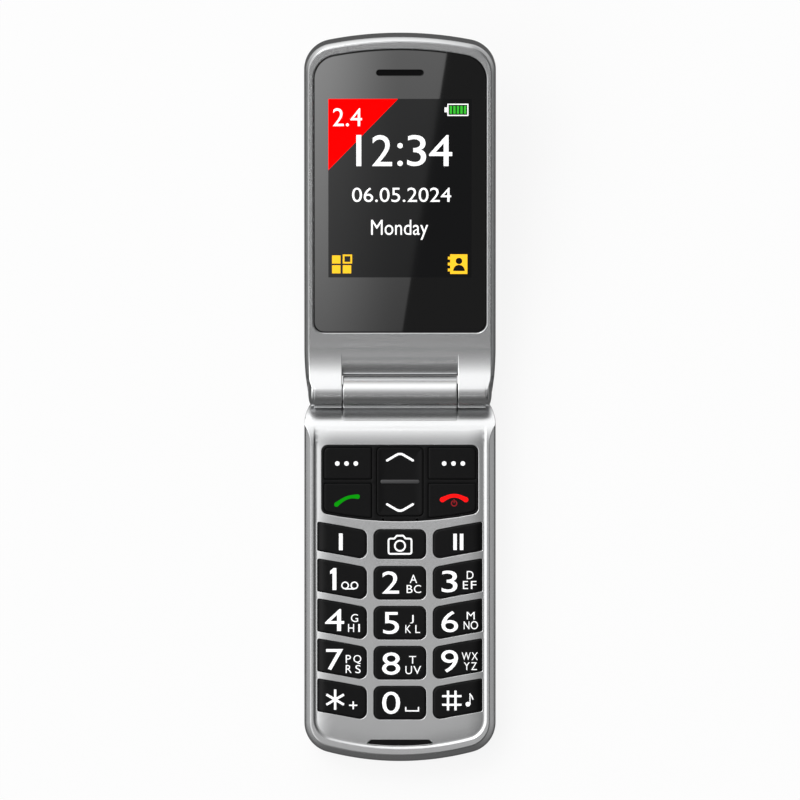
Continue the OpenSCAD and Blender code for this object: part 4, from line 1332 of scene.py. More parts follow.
    def signs(self, node: str, marks: Marks) -> list[Body]:
        """Signs that are drawn from strokes.

        Args:
            node: The key.
            marks: The marks on its cap.

        Returns:
            The closed forms, none for most keys.
        """
        if node == "key_m1":
            return [marks.slab(bar(-15.97, 36.96, -14.98, 41.35))]
        if node == "key_m2":
            return [marks.slab(bar(x, 37.04, x + 0.92, 41.3)) for x in (13.93, 15.64)]
        if node == "key_1":
            reels = [marks.hoop(circle((x, 50.55), 1.02), circle((x, 50.55), 0.68)) for x in (-14.35, -11.92)]
            one = [(-17.65, 51.76), (-17.65, 47.35), (-18.27, 47.6), (-18.27, 46.75), (-17.35, 46.01),
                   (-16.63, 46.01), (-16.63, 51.76)]
            return reels + [marks.slab(bar(-14.35, 51.3, -11.92, 51.62)), marks.slab(one)]
        if node == "key_0":
            return [marks.stroke([(1.5, 82.45), (1.5, 83.35), (4.82, 83.35), (4.82, 82.45)], 0.34)]
        if node == "key_star":
            return [marks.slab(asterisk((-16.95, 80.4), 2.65, 0.62))]
        if node == "key_hash":
            over = Marks(Half.BASE, marks.surface, marks.low, marks.high + 0.004)
            down = [marks.stroke([(x, 78.05), (x, 83.23)], 0.6, round_ends=False) for x in (12.55, 14.5)]
            across = [over.stroke([(11.0, v), (16.08, v)], 0.55, round_ends=False) for v in (79.5, 81.75)]
            note = [marks.disc((17.75, 81.6), 0.62), marks.stroke([(18.3, 81.6), (18.3, 78.9)], 0.26),
                    marks.stroke([(18.3, 78.95), (18.75, 79.5), (19.05, 80.3)], 0.3)]
            return down + across + note
        if node == "key_camera":
            corners = [(-3.0, 38.32), (-1.46, 38.32), (-0.84, 37.56), (0.84, 37.56),
                       (1.46, 38.32), (3.0, 38.32), (3.0, 42.3), (-3.0, 42.3)]
            shell = leftward(rounded(corners, [0.5] + [0.2] * 4 + [0.5] * 3, 5))
            return [marks.hoop(offset(shell, -0.23), offset(shell, 0.23)),
                    marks.hoop(circle((0, 40.2), 1.56), circle((0, 40.2), 1.12))]
        return []


@dataclass
class NavigationBlock:
    """The black frame at the head of the keypad with four keys and the rocker."""

    half_w: float = 20.4
    start_v: float = 13.96
    length: float = 19.8
    end_r: float = 98.5
    corner_r: float = 1.6
    rim: float = 0.45
    gap: float = 0.15
    net: float = 0.8
    key_in: float = 7.45
    key_r: float = 0.4
    key_outer_r: float = 1.3
    split_v: float = 22.74
    split_gap: float = 1.2
    rocker_w: float = 12.0
    rocker_v: float = 14.5
    rocker_l: float = 17.86
    rocker_r: float = 1.2
    dish: float = 0.1
    dish_in: float = 0.35
    dish_fade: float = 0.7
    bar_x: float = 5.1
    bar_v: float = 0.5
    bar_r: float = 0.45
    bar_steps: Points = ((0, -0.2), (0, 0.03), (0.1, 0.12), (0.26, 0.15))
    arrow: Points = ((-3.36, 0), (-0.95, 1.42), (-0.5, 1.62), (0, 1.69), (0.5, 1.62), (0.95, 1.42), (3.36, 0))
    arrow_v: Pair = (17.88, 29.35)
    arrow_w: float = 0.6
    dot_x: Points = ((-16.39, -13.98, -11.55), (11.55, 13.98, 16.42))
    dot_v: float = 18.69
    dot_r: float = 0.6
    edge_r: float = 0.14
    hole_r: float = 0.08
    frame_z: float = 10.95
    frame_t: float = 1.05
    top_z: float = 11.2
    key_form: KeyForm = KeyForm(9.25, 9.55, 0.5, 0.2)
    rocker_form: KeyForm = KeyForm(9.25, 9.5, 0.45, 0.18)

    def end(self, x: Number, inset: float = 0.0) -> Number:
        """Lower edge of the block, a shallow arc."""
        return self.start_v + self.length - inset - self.end_r + np.sqrt(self.end_r**2 - np.square(x))

    def outline(self, inset: float = 0.0) -> np.ndarray:
        """The block seen from the front, at an inset.

        Args:
            inset: How far inside its edge the points lie.

        Returns:
            The closed ring.
        """
        x = self.half_w - inset
        low = [(x * i / 4, float(self.end(x * i / 4, inset))) for i in range(4, -5, -1)]
        r = self.corner_r
        return rounded([(-x, self.start_v + inset), (x, self.start_v + inset), *low], [r, r, r] + [0] * 7 + [r])

    def keys(self) -> dict[str, Outline]:
        """The four keys: two soft keys above, the call key and the end key below."""
        places = (("soft_key_left", -1, False), ("soft_key_right", 1, False),
                  ("call_key", -1, True), ("end_key", 1, True))
        return {node: partial(self.key_ring, side, lower) for node, side, lower in places}

    def key_ring(self, side: int, lower: bool, grow: float) -> np.ndarray:
        """Outline of one of the four keys.

        Args:
            side: -1 for the left column, 1 for the right one.
            lower: Whether it is the lower key, whose foot follows the block's arc.
            grow: How far the outline grows.

        Returns:
            The closed ring.
        """
        edge = self.rim + self.gap
        a, b = self.key_in - grow, self.half_w - edge + grow
        start = (self.split_v + self.split_gap if lower else self.start_v + edge) - grow

        def foot(x: float) -> float:
            """The key's lower edge at x."""
            return float(self.end(x, edge - grow)) if lower else self.split_v + grow

        r, wide = self.key_r, self.key_outer_r
        corners = [(a, start), (b, start), (b, foot(b)), ((a + b) / 2, foot((a + b) / 2)), (a, foot(a))]
        return rounded(corners, [r, r, wide, 0, r] if lower else [r, wide, r, 0, r], 6) * (side, 1)

    def rocker_ring(self, grow: float) -> np.ndarray:
        """Outline of the rocker: a rounded rectangle."""
        x, end = self.rocker_w / 2 + grow, self.rocker_v + self.rocker_l
        return bar(-x, self.rocker_v - grow, x, end + grow, self.rocker_r)

    def rocker_top(self, x: np.ndarray, v: np.ndarray) -> np.ndarray:
        """Height of the rocker.

        Args:
            x: Places across.
            v: Places along.

        Returns:
            top_z, lower by dish from a band inside its rim on, fading in over dish_fade.
        """
        along = np.minimum(v - self.rocker_v, self.rocker_v + self.rocker_l - v)
        edge = np.minimum(self.rocker_w / 2 - np.abs(x), along)
        return self.top_z - self.dish * smooth((edge - self.dish_in) / self.dish_fade)

    def build(self) -> None:
        """Makes the frame, the keys, the rocker and their signs."""
        holes = [densify(ring(self.gap), self.net) for ring in (*self.keys().values(), self.rocker_ring)]
        plate = Plate(densify(self.outline(), self.net), holes, level(self.frame_z),
                      level(self.frame_z - self.frame_t), [self.edge_r] + [self.hole_r] * len(holes),
                      step=1.2, guard=0.0)
        make("nav_frame", [plate.body(Half.BASE)], [NAV_BLACK], "nav_black", "base", ["nav_bezel"])
        for node, ring in self.keys().items():
            form = self.key_form.body(ring, level(self.top_z))
            make(node + "_cap", [form], [KEY_CHARCOAL], "key_charcoal", node, [node], sharp=KEY_SHARP)
        self.rocker()
        marks = Marks(Half.BASE, level(self.top_z))
        for node, row in zip(("soft_key_left", "soft_key_right"), self.dot_x):
            dots = [marks.disc((x, self.dot_v), self.dot_r) for x in row]
            make(node + "_dots", dots, [PRINT_WHITE_PAINTED_GLOW], "key_charcoal", node)
        self.handsets(marks)
        log.info("navigation block: frame, four keys and the rocker")

    def rocker(self) -> None:
        """The rocker with its raised bar, whose lighter grey is a painted highlight, and two chevrons."""
        middle = self.rocker_v + self.rocker_l / 2
        ridge = bar(-self.bar_x, middle - self.bar_v, self.bar_x, middle + self.bar_v, self.bar_r)
        ridge = leftward(clean(ridge))
        rings = [(offset(ridge, inset), self.top_z + up) for inset, up in self.bar_steps]
        raised = stack(Half.BASE, rings, 1)
        make("nav_rocker_cap", [self.rocker_form.body(self.rocker_ring, self.rocker_top), raised],
             [KEY_CHARCOAL, KEY_BAR_PAINTED_HIGHLIGHT], "key_charcoal", "nav_rocker", ["nav_rocker"], sharp=KEY_SHARP)
        marks = Marks(Half.BASE, self.rocker_top)
        rows = [np.array(self.arrow) * (1, way) + (0, v) for way, v in zip((-1, 1), self.arrow_v)]
        arrows = [marks.stroke(row, self.arrow_w) for row in rows]
        make("nav_rocker_arrows", arrows, [PRINT_WHITE_PAINTED_GLOW], "key_charcoal", "nav_rocker")

    def handsets(self, marks: Marks) -> None:
        """The green and the red handset signs, each a bent stroke with thick ends.

        Args:
            marks: The marks on the keys.
        """
        t = np.linspace(0, 1, 15)
        bend = np.sin(np.pi * t)
        width = 0.85 + 0.35 * np.abs(2 * t - 1) ** 3
        green = np.column_stack((-16.6 + 5.5 * t, 29.4 - 2.05 * t - 0.7 * bend))
        make("call_key_sign", [marks.stroke(green, width)], [PRINT_GREEN_PAINTED_GLOW], "key_charcoal", "call_key")
        red = np.column_stack((11.1 + 6.1 * t, 28.15 - 1.05 * bend))
        power = [marks.stroke(line, 0.26, 1) for line in (arc((14.14, 29.1), 0.7, -60, 240, 18),
                                                          [(14.14, 28.1), (14.14, 28.95)])]
        make("end_key_sign", [marks.stroke(red, width * 1.12), *power], [PRINT_RED_PAINTED_GLOW, PRINT_DARK_RED],
             "key_charcoal", "end_key")


# ---- keypad half ----


def roll(v: np.ndarray, depth: float = 0.0) -> np.ndarray:
    """Height of the keypad half's face: flat, then a round towards the hinge down to the floor.

    Args:
        v: Places along the half.
        depth: How far under the face the surface lies.

    Returns:
        base_t - roll_r + sqrt(r^2 - (roll_start - v)^2), where r is roll_r - depth.
    """
    r = L.roll_r - depth
    fall = np.clip(L.roll_start - v, 0, r)
    return np.maximum(L.base_t - L.roll_r + np.sqrt(r * r - fall * fall), L.floor_z - depth)


@dataclass
class KeypadHalf:
    """Front plate, hinge barrel, rear housing and battery cover."""

    keypad: Keypad
    block: NavigationBlock
    rim: float = 2.4
    rim_step: float = 0.55
    panel_drop: float = 0.26
    pillow: float = 5.5
    far_rim: float = 0.8
    fade_v: Pair = (8.5, 6.5)
    key_gap: float = 0.15
    block_gap: float = 0.05
    edge_r: float = 0.14
    hole_r: float = 0.2
    slot_r: float = 0.06
    guide_shares: tuple[float, ...] = (-0.3, 0, 0.33, 0.67, 1)
    guide_v: float = 9.5
    pillow_steps: tuple[float, ...] = (0.5, 1.1, 1.9, 3.0)
    net: float = 0.7
    neck_v: float = 7.3
    neck_end: float = 4.3
    neck_lift: float = 0.2
    barrel_arc: Pair = (-35, 268)
    barrel_edge: float = 0.22
    mic_v: float = 91.7
    mic_h: float = 0.8
    mic_w: Pair = (7.6, 8.8)
    mic_tuck: float = 0.06
    roll_rows: tuple[float, float, float] = (24.4, 0.9, 13.4)
    shoulder: Points = ((0, 7.0), (0, 8.3), (0.03, 8.65), (0.1, 8.95), (0.19, 9.17), (0.3, 9.33), (0.9, 9.84),
                        (1.35, 10.19), (1.5, 10.3), (1.62, 10.38), (2.4, 10.38), (2.4, 1.2))
    skin_gap: float = 0.35
    cover_x: float = 19.5
    cover_v: float = 32.0
    cover_t: float = 1.2
    cover_gap: float = 0.15
    cover_r: float = 1.5
    socket_x: float = 3.85
    socket_z: Pair = (4.3, 7.3)
    socket_depth: float = 5.0
    speaker_at: tuple[float, ...] = (-10, 22.5, 1.5, 0.45)
    speaker_depth: float = 1.7
    screw_at: tuple[float, ...] = (18.5, 9.8, 1.65)
    screw_depth: float = 1.6
    grooves: int = 5
    groove_v: Pair = (5.0, 2.2)
    groove_x: Pair = (6.5, 0.6)
    groove_half: float = 0.45
    groove_r: float = 0.44
    groove_depth: float = 0.35

    def panel_edge(self) -> np.ndarray:
        """Outline that the panel's depth is measured from, shorter than the half by far_rim."""
        return densify(base_outline(0, L.base_l - self.far_rim), 0.6)

    def plate_edge(self, over: float, hinge_end: Points) -> np.ndarray:
        """Outline inside the shoulder, then along both sweeps, over past the full width, to hinge_end."""
        end = far_end(L.base_l, L.base_end_r, L.shoulder_w)
        return np.vstack((end, corner_sweep(-1, over), hinge_end, corner_sweep(1, over)))

    def face(self, x: np.ndarray, v: np.ndarray) -> np.ndarray:
        """Height of the front plate.

        A rim runs round the edge. Inside it the panel steps down and swells up again to the level of
        the rim. The step fades out towards the hinge.

        Args:
            x: Places across.
            v: Places along.

        Returns:
            The roll less panel_drop * (1 - t)^3, where t goes from 0 at the step to 1 over the pillow.
        """
        d = reach(np.column_stack((x, v)), self.panel_edge())
        down = smooth((d - self.rim) / self.rim_step)
        t = np.clip((d - self.rim - self.rim_step) / self.pillow, 0, 1)
        start, width = self.fade_v
        return roll(v) - self.panel_drop * down * (1 - t) ** 3 * smooth((v - start) / width)

    def mic_ring(self) -> np.ndarray:
        """Outline of the slot at the keypad end.

        Returns:
            The closed ring: straight above, and below it follows the step's arc.
        """
        a, b = self.mic_w
        r = L.base_end_r - self.rim - self.rim_step
        x = np.linspace(b, -b, 11)
        high = self.mic_v - self.mic_h
        low = self.mic_v + self.mic_h - self.mic_tuck - (r - np.sqrt(r * r - x * x))
        return np.vstack(([(-a, high), (a, high)], np.column_stack((x, low))))

    def front_plate(self) -> None:
        """The plate with all its openings."""
        rings = [ring(self.key_gap) for ring in self.keypad.keys().values()]
        rings += [self.block.outline(-self.block_gap), self.mic_ring()]
        edge, step = leftward(self.panel_edge()), self.rim + self.rim_step
        guides = [offset(edge, self.rim + self.rim_step * share) for share in self.guide_shares]
        swell = np.vstack([offset(edge, step + more) for more in self.pillow_steps])
        spots = np.vstack((swell[swell[:, 1] > self.roll_rows[-1]], rows_of_points(*self.roll_rows)))
        plate = Plate(densify(self.plate_edge(0, near_end(L.base_waist, L.end_v, 0)), self.net),
                      [densify(r, self.net) for r in rings], self.face, lambda x, v: roll(v, L.plate_t),
                      [self.edge_r] + [self.hole_r] * (len(rings) - 1) + [self.slot_r],
                      [g[g[:, 1] > self.guide_v] for g in guides], spots, step=1.5, guard=0.06)
        weigh(make("front_plate", [plate.body(Half.BASE)], [SILVER_FRONT], "silver_front", "base",
                   ["base_front_housing"], sharp=HOUSING_SHARP))

    def barrel(self) -> None:
        """Barrel and neck in one section.

        The neck follows the plate's roll a little above it, up to where it meets the barrel's circle,
        which goes on round the axis and ends in the block that stands in the plate.
        """
        low = L.floor_z - L.plate_t - L.hinge_z
        v = np.linspace(self.neck_v, self.neck_end, 14)
        top = roll(v) + self.neck_lift - L.hinge_z
        front = self.neck_v + self.neck_lift / 2
        section = np.vstack(([(front, low), (front, top[0] - self.neck_lift / 2)], np.column_stack((v, top)),
                             arc((0, 0), L.knuckle_r, *self.barrel_arc, 110), [(L.end_v, low)]))
        body = prism(Half.BASE, section + (0, L.hinge_z), -L.barrel_x, L.barrel_x, self.barrel_edge)
        weigh(make("hinge_barrel", [body], [SILVER_FRONT], "silver_front", "base", sharp=ROUND_SHARP))

    def rear_housing(self) -> None:
        """The rear housing with the opening for its cover, its holes and the socket."""
        profile = np.vstack((rounding(L.back_r, BACK_STEPS), self.shoulder))
        shell = stack(Half.BASE, [(base_outline(i), z) for i, z in profile])
        piece = make("rear_housing", [shell], [SILVER_REAR], "silver_rear", "base", ["base_rear_housing"],
                     sharp=HOUSING_SHARP)
        side, past, high = L.half_w + 1, 2, 30
        v = L.roll_start * (1 - (1 - np.linspace(0, 1, 24)) ** 1.5)
        above = np.vstack((np.column_stack((v, roll(v, self.skin_gap))),
                           [(L.base_l + past, L.base_t - self.skin_gap), (L.base_l + past, high), (-past, high),
                            (-past, L.floor_z - self.skin_gap)]))
        lid = Plate(densify(self.plate_edge(1, [(-side, -1), (side, -1)]), 1.5), [], level(high - 1.0),
                    lambda x, v: roll(v, L.plate_t), [0.0], guard=0.0)
        x, gap, end = self.cover_x + self.cover_gap, self.cover_gap, L.base_l + 1
        first, row, pitch, r = self.speaker_at
        screw_x, screw_v, screw_r = self.screw_at
        cuts = [prism(Half.BASE, above, -side, side), lid.body(Half.BASE),
                extrude(Half.BASE, bar(-x, self.cover_v - gap, x, end), -1, self.cover_t + gap),
                extrude(Half.BASE, bar(-self.socket_x, L.base_l - self.socket_depth, self.socket_x, end),
                        *self.socket_z)]
        cuts += [post(Half.BASE, (first + pitch * i, row), r, -1, self.speaker_depth, 20) for i in range(-3, 4)]
        cuts += [post(Half.BASE, (way * screw_x, screw_v), screw_r, -1, self.screw_depth) for way in (-1, 1)]
        carve(piece, cuts)

    def battery_cover(self) -> None:
        """The sliding cover: the housing's own back inside its opening, with five thumb grooves."""
        back = rounding(L.back_r, 7, 45)
        last = math.acos(1 - self.cover_t / L.back_r)
        rim = (L.back_r * (1 - math.sin(last)), self.cover_t)
        profile = np.vstack((back[back[:, 1] < self.cover_t - 0.02], [rim]))
        piece = make("battery_cover_skin", [stack(Half.BASE, [(base_outline(i), z) for i, z in profile])],
                     [SILVER_REAR], "silver_rear", "battery_cover", ["battery_cover"], sharp=HOUSING_SHARP)
        x, end = self.cover_x, L.base_l + 2
        corners = [(-x, self.cover_v), (x, self.cover_v), (x, end), (-x, end)]
        shape = rounded(corners, [self.cover_r, self.cover_r, 0, 0])
        carve(piece, [extrude(Half.BASE, shape, -1, 3)], Keep.INSIDE)
        (first, pitch), (wide, taper), half = self.groove_v, self.groove_x, self.groove_half
        grooves = []
        for i in range(self.grooves):
            v, x = self.cover_v + first + pitch * i, wide - taper * i
            ring = bar(-x, v - half, x, v + half, self.groove_r)
            grooves.append(extrude(Half.BASE, ring, -0.5, self.groove_depth))
        carve(piece, grooves)

    def build(self) -> None:
        """Makes the keypad half's housings."""
        self.front_plate()
        self.barrel()
        self.rear_housing()
        self.battery_cover()
        log.info("keypad half: plate, barrel, rear housing and battery cover")


# ---- display half ----


@dataclass
class DisplayHalf:
    """Frame with its ramp and knuckles, back cover, lens, and what the display shows."""

    lens_w: float = 45.0
    lens_u: float = 16.0
    lens_rim: float = 3.2
    lens_corner: float = 6.5
    lens_foot_r: float = 2.7
    lens_top: float = -0.45
    lens_t: float = 1.0
    frame_w: float = -3.0
    window_x: float = 18.7
    window_u: Pair = (30.85, 79.0)
    earpiece_u: float = 86.05
    earpiece: Pair = (12.0, 1.25)
    camera_u: float = 73.5
    camera_r: Pair = (4.25, 3.15)
    flash_at: tuple[float, ...] = (9, 1.1)
    plate_low: float = -8.0
    brow_r: float = 10.8
    brow_overlap: float = 1.2
    wall_y: float = 4.24
    nose_r: float = 0.7
    nose_end: float = 192.0
    arm_start: float = 1.6
    arm: Points = ((22.85, 1.6), (23.0, 2.0), (23.2, 2.44), (23.42, 3.0), (23.62, 3.6), (23.76, 4.33),
                   (23.83, 5.2), (23.84, 6.2), (23.87, 8.0), (23.9, 11.4))
    edge_r: float = 0.16
    edge_fade: Pair = (0.05, 1.2)
    hidden_r: float = 0.004
    hidden_u: float = 0.15
    heel_u: float = 2.5
    lip_r: float = 0.28
    lens_gap: float = 0.1
    knuckle_sink: float = 0.02
    bore_gap: float = 0.05
    ramp_rows: tuple[float, float, float] = (23.4, 2.2, 13.6)
    layers: Points = ((-0.02, 0.006), (0.004, 0.012), (0.004, 0.018))
    corner_h: float = 19.2
    rim: Points = ((0, -3.5), (0, -2.3), (0.03, -2.0), (0.1, -1.73), (0.2, -1.53), (0.4, -1.3), (0.7, -1.0),
                   (0.9, -0.82), (1.02, -0.7), (1.08, -0.68), (1.1, -0.74), (1.1, -3.0), (2.3, -3.0),
                   (2.3, -8.1))

    @property
    def back_w(self) -> float:
        """Height of the back."""
        return L.face_w - L.flip_t

    @property
    def leave(self) -> float:
        """Slope of the ramp, in degrees, where the roll beside the barrel leaves it."""
        return math.degrees(math.asin((L.roll_start - L.cove_u) / L.ramp_r))

    def lens_ring(self, grow: float = 0.0) -> np.ndarray:
        """Outline of the lens: bowed far end, straight sides, small corners towards the hinge.

        Args:
            grow: How far it grows.

        Returns:
            The closed ring.
        """
        half, u = self.lens_w / 2, self.lens_u - grow
        end = far_end(L.flip_l - self.lens_rim, L.flip_end_r - self.lens_rim, -grow, half, self.lens_corner)
        x, r = half + grow, self.lens_foot_r
        foot = rounded([(x, u + 9), (-x, u + 9), (-x, u), (x, u)], [0, 0, r, r])
        return np.vstack((end, foot[foot[:, 1] < u + 4]))

    def ramp(self, u: np.ndarray) -> np.ndarray:
        """Height of the frame.

        Args:
            u: Places along the half.

        Returns:
            Flat, then the ramp's circle, then its tangent on to the knuckle's circle.
        """
        a = math.radians(L.ramp_angle)
        fall = np.clip(L.roll_start - u, 0, L.ramp_r * math.sin(a))
        w = L.face_w + L.ramp_r - np.sqrt(L.ramp_r**2 - fall**2)
        w = w + np.clip(L.roll_start - L.ramp_r * math.sin(a) - u, 0, None) * math.tan(a)
        r = L.knuckle_r - self.knuckle_sink
        return np.where(u < r * math.sin(a), np.sqrt(np.maximum(r * r - u * u, 0)), w)

    def brow(self) -> np.ndarray:
        """Section beside the barrel: a wide round that leaves the ramp on a tangent, then a small one.

        Returns:
            An open row of (u, w) points from the ramp down to the wall beside the barrel.
        """
        start, turn = 90 - self.leave, 90 + L.tilt
        a, b = math.radians(start), math.radians(turn)
        foot = np.array([L.cove_u, float(self.ramp(np.array([L.cove_u]))[0])])
        wide = arc(foot - self.brow_r * np.array([math.cos(a), math.sin(a)]), self.brow_r, start, turn, 30)
        middle = wide[-1] - self.nose_r * np.array([math.cos(b), math.sin(b)])
        nose = arc(middle, self.nose_r, turn, self.nose_end, 14)
        return np.vstack((wide, nose[1:]))

    def arm_edge(self) -> np.ndarray:
        """The arm's outer edge on the right, from the knuckle up to the frame's side.

        Returns:
            An open row of points along the edge.
        """
        x, u = np.transpose(self.arm)
        fine = np.linspace(u[0], u[-1], 24)
        return np.column_stack((np.interp(fine, u, x), fine))

    def inner_frame(self) -> None:
        """The face with the ramp and both arms, the knuckles and the roll beside the barrel."""
        arm, slot, start = self.arm_edge(), L.knuckle_x, self.arm_start
        inner = np.array([(-slot, start), (-slot, L.cove_u), (slot, L.cove_u), (slot, start)])
        outer = np.vstack((far_end(L.flip_l, L.flip_end_r, L.frame_inset), (arm * (-1, 1))[::-1], inner, arm))
        outer = leftward(densify(outer, 0.6))
        x, u = outer.T
        seam = (np.abs(x) < slot - 0.01) & (u < L.cove_u + 0.01)
        least, fade = self.edge_fade
        edge = self.edge_r * np.clip((u - start) / fade, least, 1)
        edge = np.where(seam | (u < start + self.hidden_u), self.hidden_r, edge)

        def bottom(x: np.ndarray, u: np.ndarray) -> np.ndarray:
            """Underside: flat, sloping up into the knuckle."""
            return np.where(u < self.heel_u, self.frame_w * u / self.heel_u, self.frame_w)

        plate = Plate(outer, [densify(self.lens_ring(self.lens_gap), 0.7)], lambda x, u: self.ramp(u), bottom,
                      [edge, self.lip_r], spots=rows_of_points(*self.ramp_rows), guard=0.12)
        top = L.cove_u + self.brow_overlap
        up = np.linspace(top, L.cove_u, 6)
        foot = (self.wall_y + self.frame_w * math.sin(L.lean)) / math.cos(L.lean)
        section = np.vstack((np.column_stack((up, self.ramp(up) - self.hidden_r)), self.brow()[1:],
                             [(foot, self.frame_w), (top, self.frame_w)]))
        bodies = [plate.body(Half.FLIP), prism(Half.FLIP, section, -slot, slot)]
        bodies += [knuckle(-L.knuckle_end, -slot), knuckle(slot, L.knuckle_end)]
        weigh(make("display_frame", bodies, [SILVER_FRONT], "silver_front", "flip", ["flip_inner_frame"],
                   sharp=HOUSING_SHARP))

    def back_cover(self) -> None:
        """The back cover, cut free of the barrel and the knuckles, with the camera's and flash's holes."""
        profile = np.vstack((rounding(L.back_r, BACK_STEPS) + (0, self.back_w), self.rim))
        piece = make("display_back_cover", [stack(Half.FLIP, [(flip_outline(i), w) for i, w in profile])],
                     [SILVER_REAR], "silver_rear", "flip", ["flip_outer_cover"], sharp=HOUSING_SHARP)
        c, k = math.cos(L.lean), math.sin(L.lean)
        side, bore = L.half_w + 1, L.knuckle_r + self.bore_gap

        def upright(high: float) -> np.ndarray:
            """A tall cut up to a place from the hinge axis, upright when the phone lies open."""
            return bar(-30, -30, high, 30) @ np.array([(c, -k), (k, c)])

        (window_r, barrel_r), (flash_x, flash_r) = self.camera_r, self.flash_at
        cuts = [prism(Half.FLIP, upright(self.wall_y), -L.knuckle_x, L.knuckle_x),
                prism(Half.FLIP, upright(L.end_v), -side, side),
                turned_form(Half.FLIP, np.array([(-side - 0.3, bore), (side + 0.3, bore)])),
                post(Half.FLIP, (0, self.camera_u), window_r, self.back_w - 1, self.back_w + 0.7, 64),
                post(Half.FLIP, (0, self.camera_u), barrel_r, self.back_w - 2, self.plate_low, 48),
                post(Half.FLIP, (flash_x, self.camera_u), flash_r, self.back_w - 1, self.plate_low, 32)]
        carve(piece, cuts)

    def lens(self) -> None:
        """The glossy panel with the earpiece slot."""
        (w, h), u = self.earpiece, self.earpiece_u
        a, r = (w - h) / 2, h / 2 + 0.05
        slot = np.vstack((arc((a, u), r, -90, 90, 10), arc((-a, u), r, 90, 270, 10)))
        plate = Plate(densify(self.lens_ring(), 0.8), [densify(slot, 0.5)], level(self.lens_top),
                      level(self.lens_top - self.lens_t), [0.14, 0.12], step=2.5, steps=5)
        weigh(make("lens_panel", [plate.body(Half.FLIP)], [LENS_BLACK], "lens_black", "flip", ["display_lens"],
                   sharp=ROUND_SHARP))

    def show(self, name: str, bodies: Sequence[Body], finishes: Sequence[Finish], weld: bool = False) -> None:
        """Makes one piece of the display's picture."""
        make(name, bodies, finishes, "display_face", "flip", weld=weld)

    def picture(self) -> None:
        """What the display shows: a clock, a date, a charge sign and two plain icons on a dark ground."""
        ground, corner, top = (Marks(Half.FLIP, level(self.lens_top), low, high)
                               for low, high in self.layers)
        x, (u0, u1) = self.window_x, self.window_u
        self.show("display_ground", [ground.slab(bar(-x, u0, x, u1))], [DISPLAY_DARK])
        triangle = [(-x, u1), (-x, u1 - self.corner_h), (-0.5, u1)]
        self.show("display_corner", [corner.slab(triangle)], [DISPLAY_RED])
        clock = (("1", -11.4, -10.1), ("2", -7.29, -2.07), ("3", 1.86, 6.82), ("4", 7.61, 13.62))
        words = [top.text(t, x0, 60.89, x1, 69.27) for t, x0, x1 in clock]
        words += [top.disc((0.02, u), 0.72) for u in (61.65, 66.4)]
        words += [top.text("2.4", -17.49, 71.6, -9.91, 76.5), top.text("06.05.2024", -12.52, 51.2, 13.36, 55.1),
                  top.text("Monday", -7.55, 41.0, 7.35, 46.4),
                  top.hoop(bar(12.35, 74.4, 17.85, 77.7), bar(12.65, 74.7, 17.55, 77.4)),
                  top.slab(bar(11.6, 75.4, 12.36, 76.7))]
        self.show("display_words", words, [DISPLAY_WHITE], weld=True)
        charge = [top.slab(bar(x, 75.0, x + 0.62, 77.1)) for x in np.linspace(12.95, 16.65, 5)]
        self.show("display_charge", charge, [DISPLAY_GREEN])
        self.icons(top)

    def icons(self, top: Marks) -> None:
        """The yellow menu sign, four squares with the last one hollow, and the yellow contacts book.

        Args:
            top: The marks on the display.
        """
        places = ((-17.75, 34.6), (-17.75, 31.95), (-14.95, 31.95))
        squares = [top.slab(bar(x, u, x + 2.2, u + 2.2)) for x, u in places]
        hollow = top.hoop(bar(-14.95, 34.6, -12.5, 37.05), bar(-14.5, 35.05, -12.95, 36.6))
        book = [top.slab(bar(13.1, 31.8, 17.6, 37.1))]
        book += [top.slab(bar(12.5, u, 13.15, u + 0.75)) for u in (32.5, 34.1, 35.7)]
        over = Marks(Half.FLIP, top.surface, top.high - 0.01, top.high + 0.012)
        bust = np.vstack(([(13.9, 32.6), (16.9, 32.6)], arc((15.4, 32.75), 1.5, 0, 180, 12)))
        figure = [over.disc((15.4, 35.3), 0.85, 1), over.slab(bust, 1)]
        self.show("display_icons", [*squares, hollow, *book, *figure], [DISPLAY_YELLOW, DISPLAY_DARK])

    def build(self) -> None:
        """Makes the display half."""
        self.inner_frame()
        self.back_cover()
        self.lens()
        self.picture()
        log.info("display half: frame, back cover, lens and picture")


def knuckle(x0: float, x1: float, edge_r: float = 0.2) -> Body:
    """A cylinder on the hinge axis with rounded end edges.

    Args:
        x0: Its left end.
        x1: Its right end.
        edge_r: Radius of the end edges.

    Returns:
        The closed form.
    """
    r, edge = L.knuckle_r, rounding(edge_r, 4)[:, ::-1]
    start, end = (x0, r) + edge * (1, -1), (x1, r) - edge[::-1]
    return turned_form(Half.FLIP, np.vstack(([(x0, r / 2)], start, end, [(x1, r / 2)])), 96)


@dataclass
class HingeCaps:
    """The domed caps that close the hinge on both sides."""

    r: float = 3.7
    rim: float = 0.5
    depth: float = 1.6
    stem: Points = ((-0.45, 1.9), (0, 1.9))
    open_end: float = 88.0

    def build(self) -> None:
        """Makes both caps, each a quarter ellipse turned about the hinge axis."""
        t = np.radians(np.linspace(0, self.open_end, 16))
        dome = np.column_stack((self.rim + (self.depth - self.rim) * np.sin(t), self.r * np.cos(t)))
        profile = np.vstack((self.stem, [(0, self.r)], dome))
        for side, name in ((-1, "left"), (1, "right")):
            form = turned_form(Half.FLIP, profile * (side, 1) + (side * L.knuckle_end, 0))
            make(f"hinge_cap_{name}_dome", [form], [SILVER_CAP], "silver_cap", "flip", [f"hinge_cap_{name}"],
                 sharp=ROUND_SHARP)
        log.info("hinge caps: two domes")


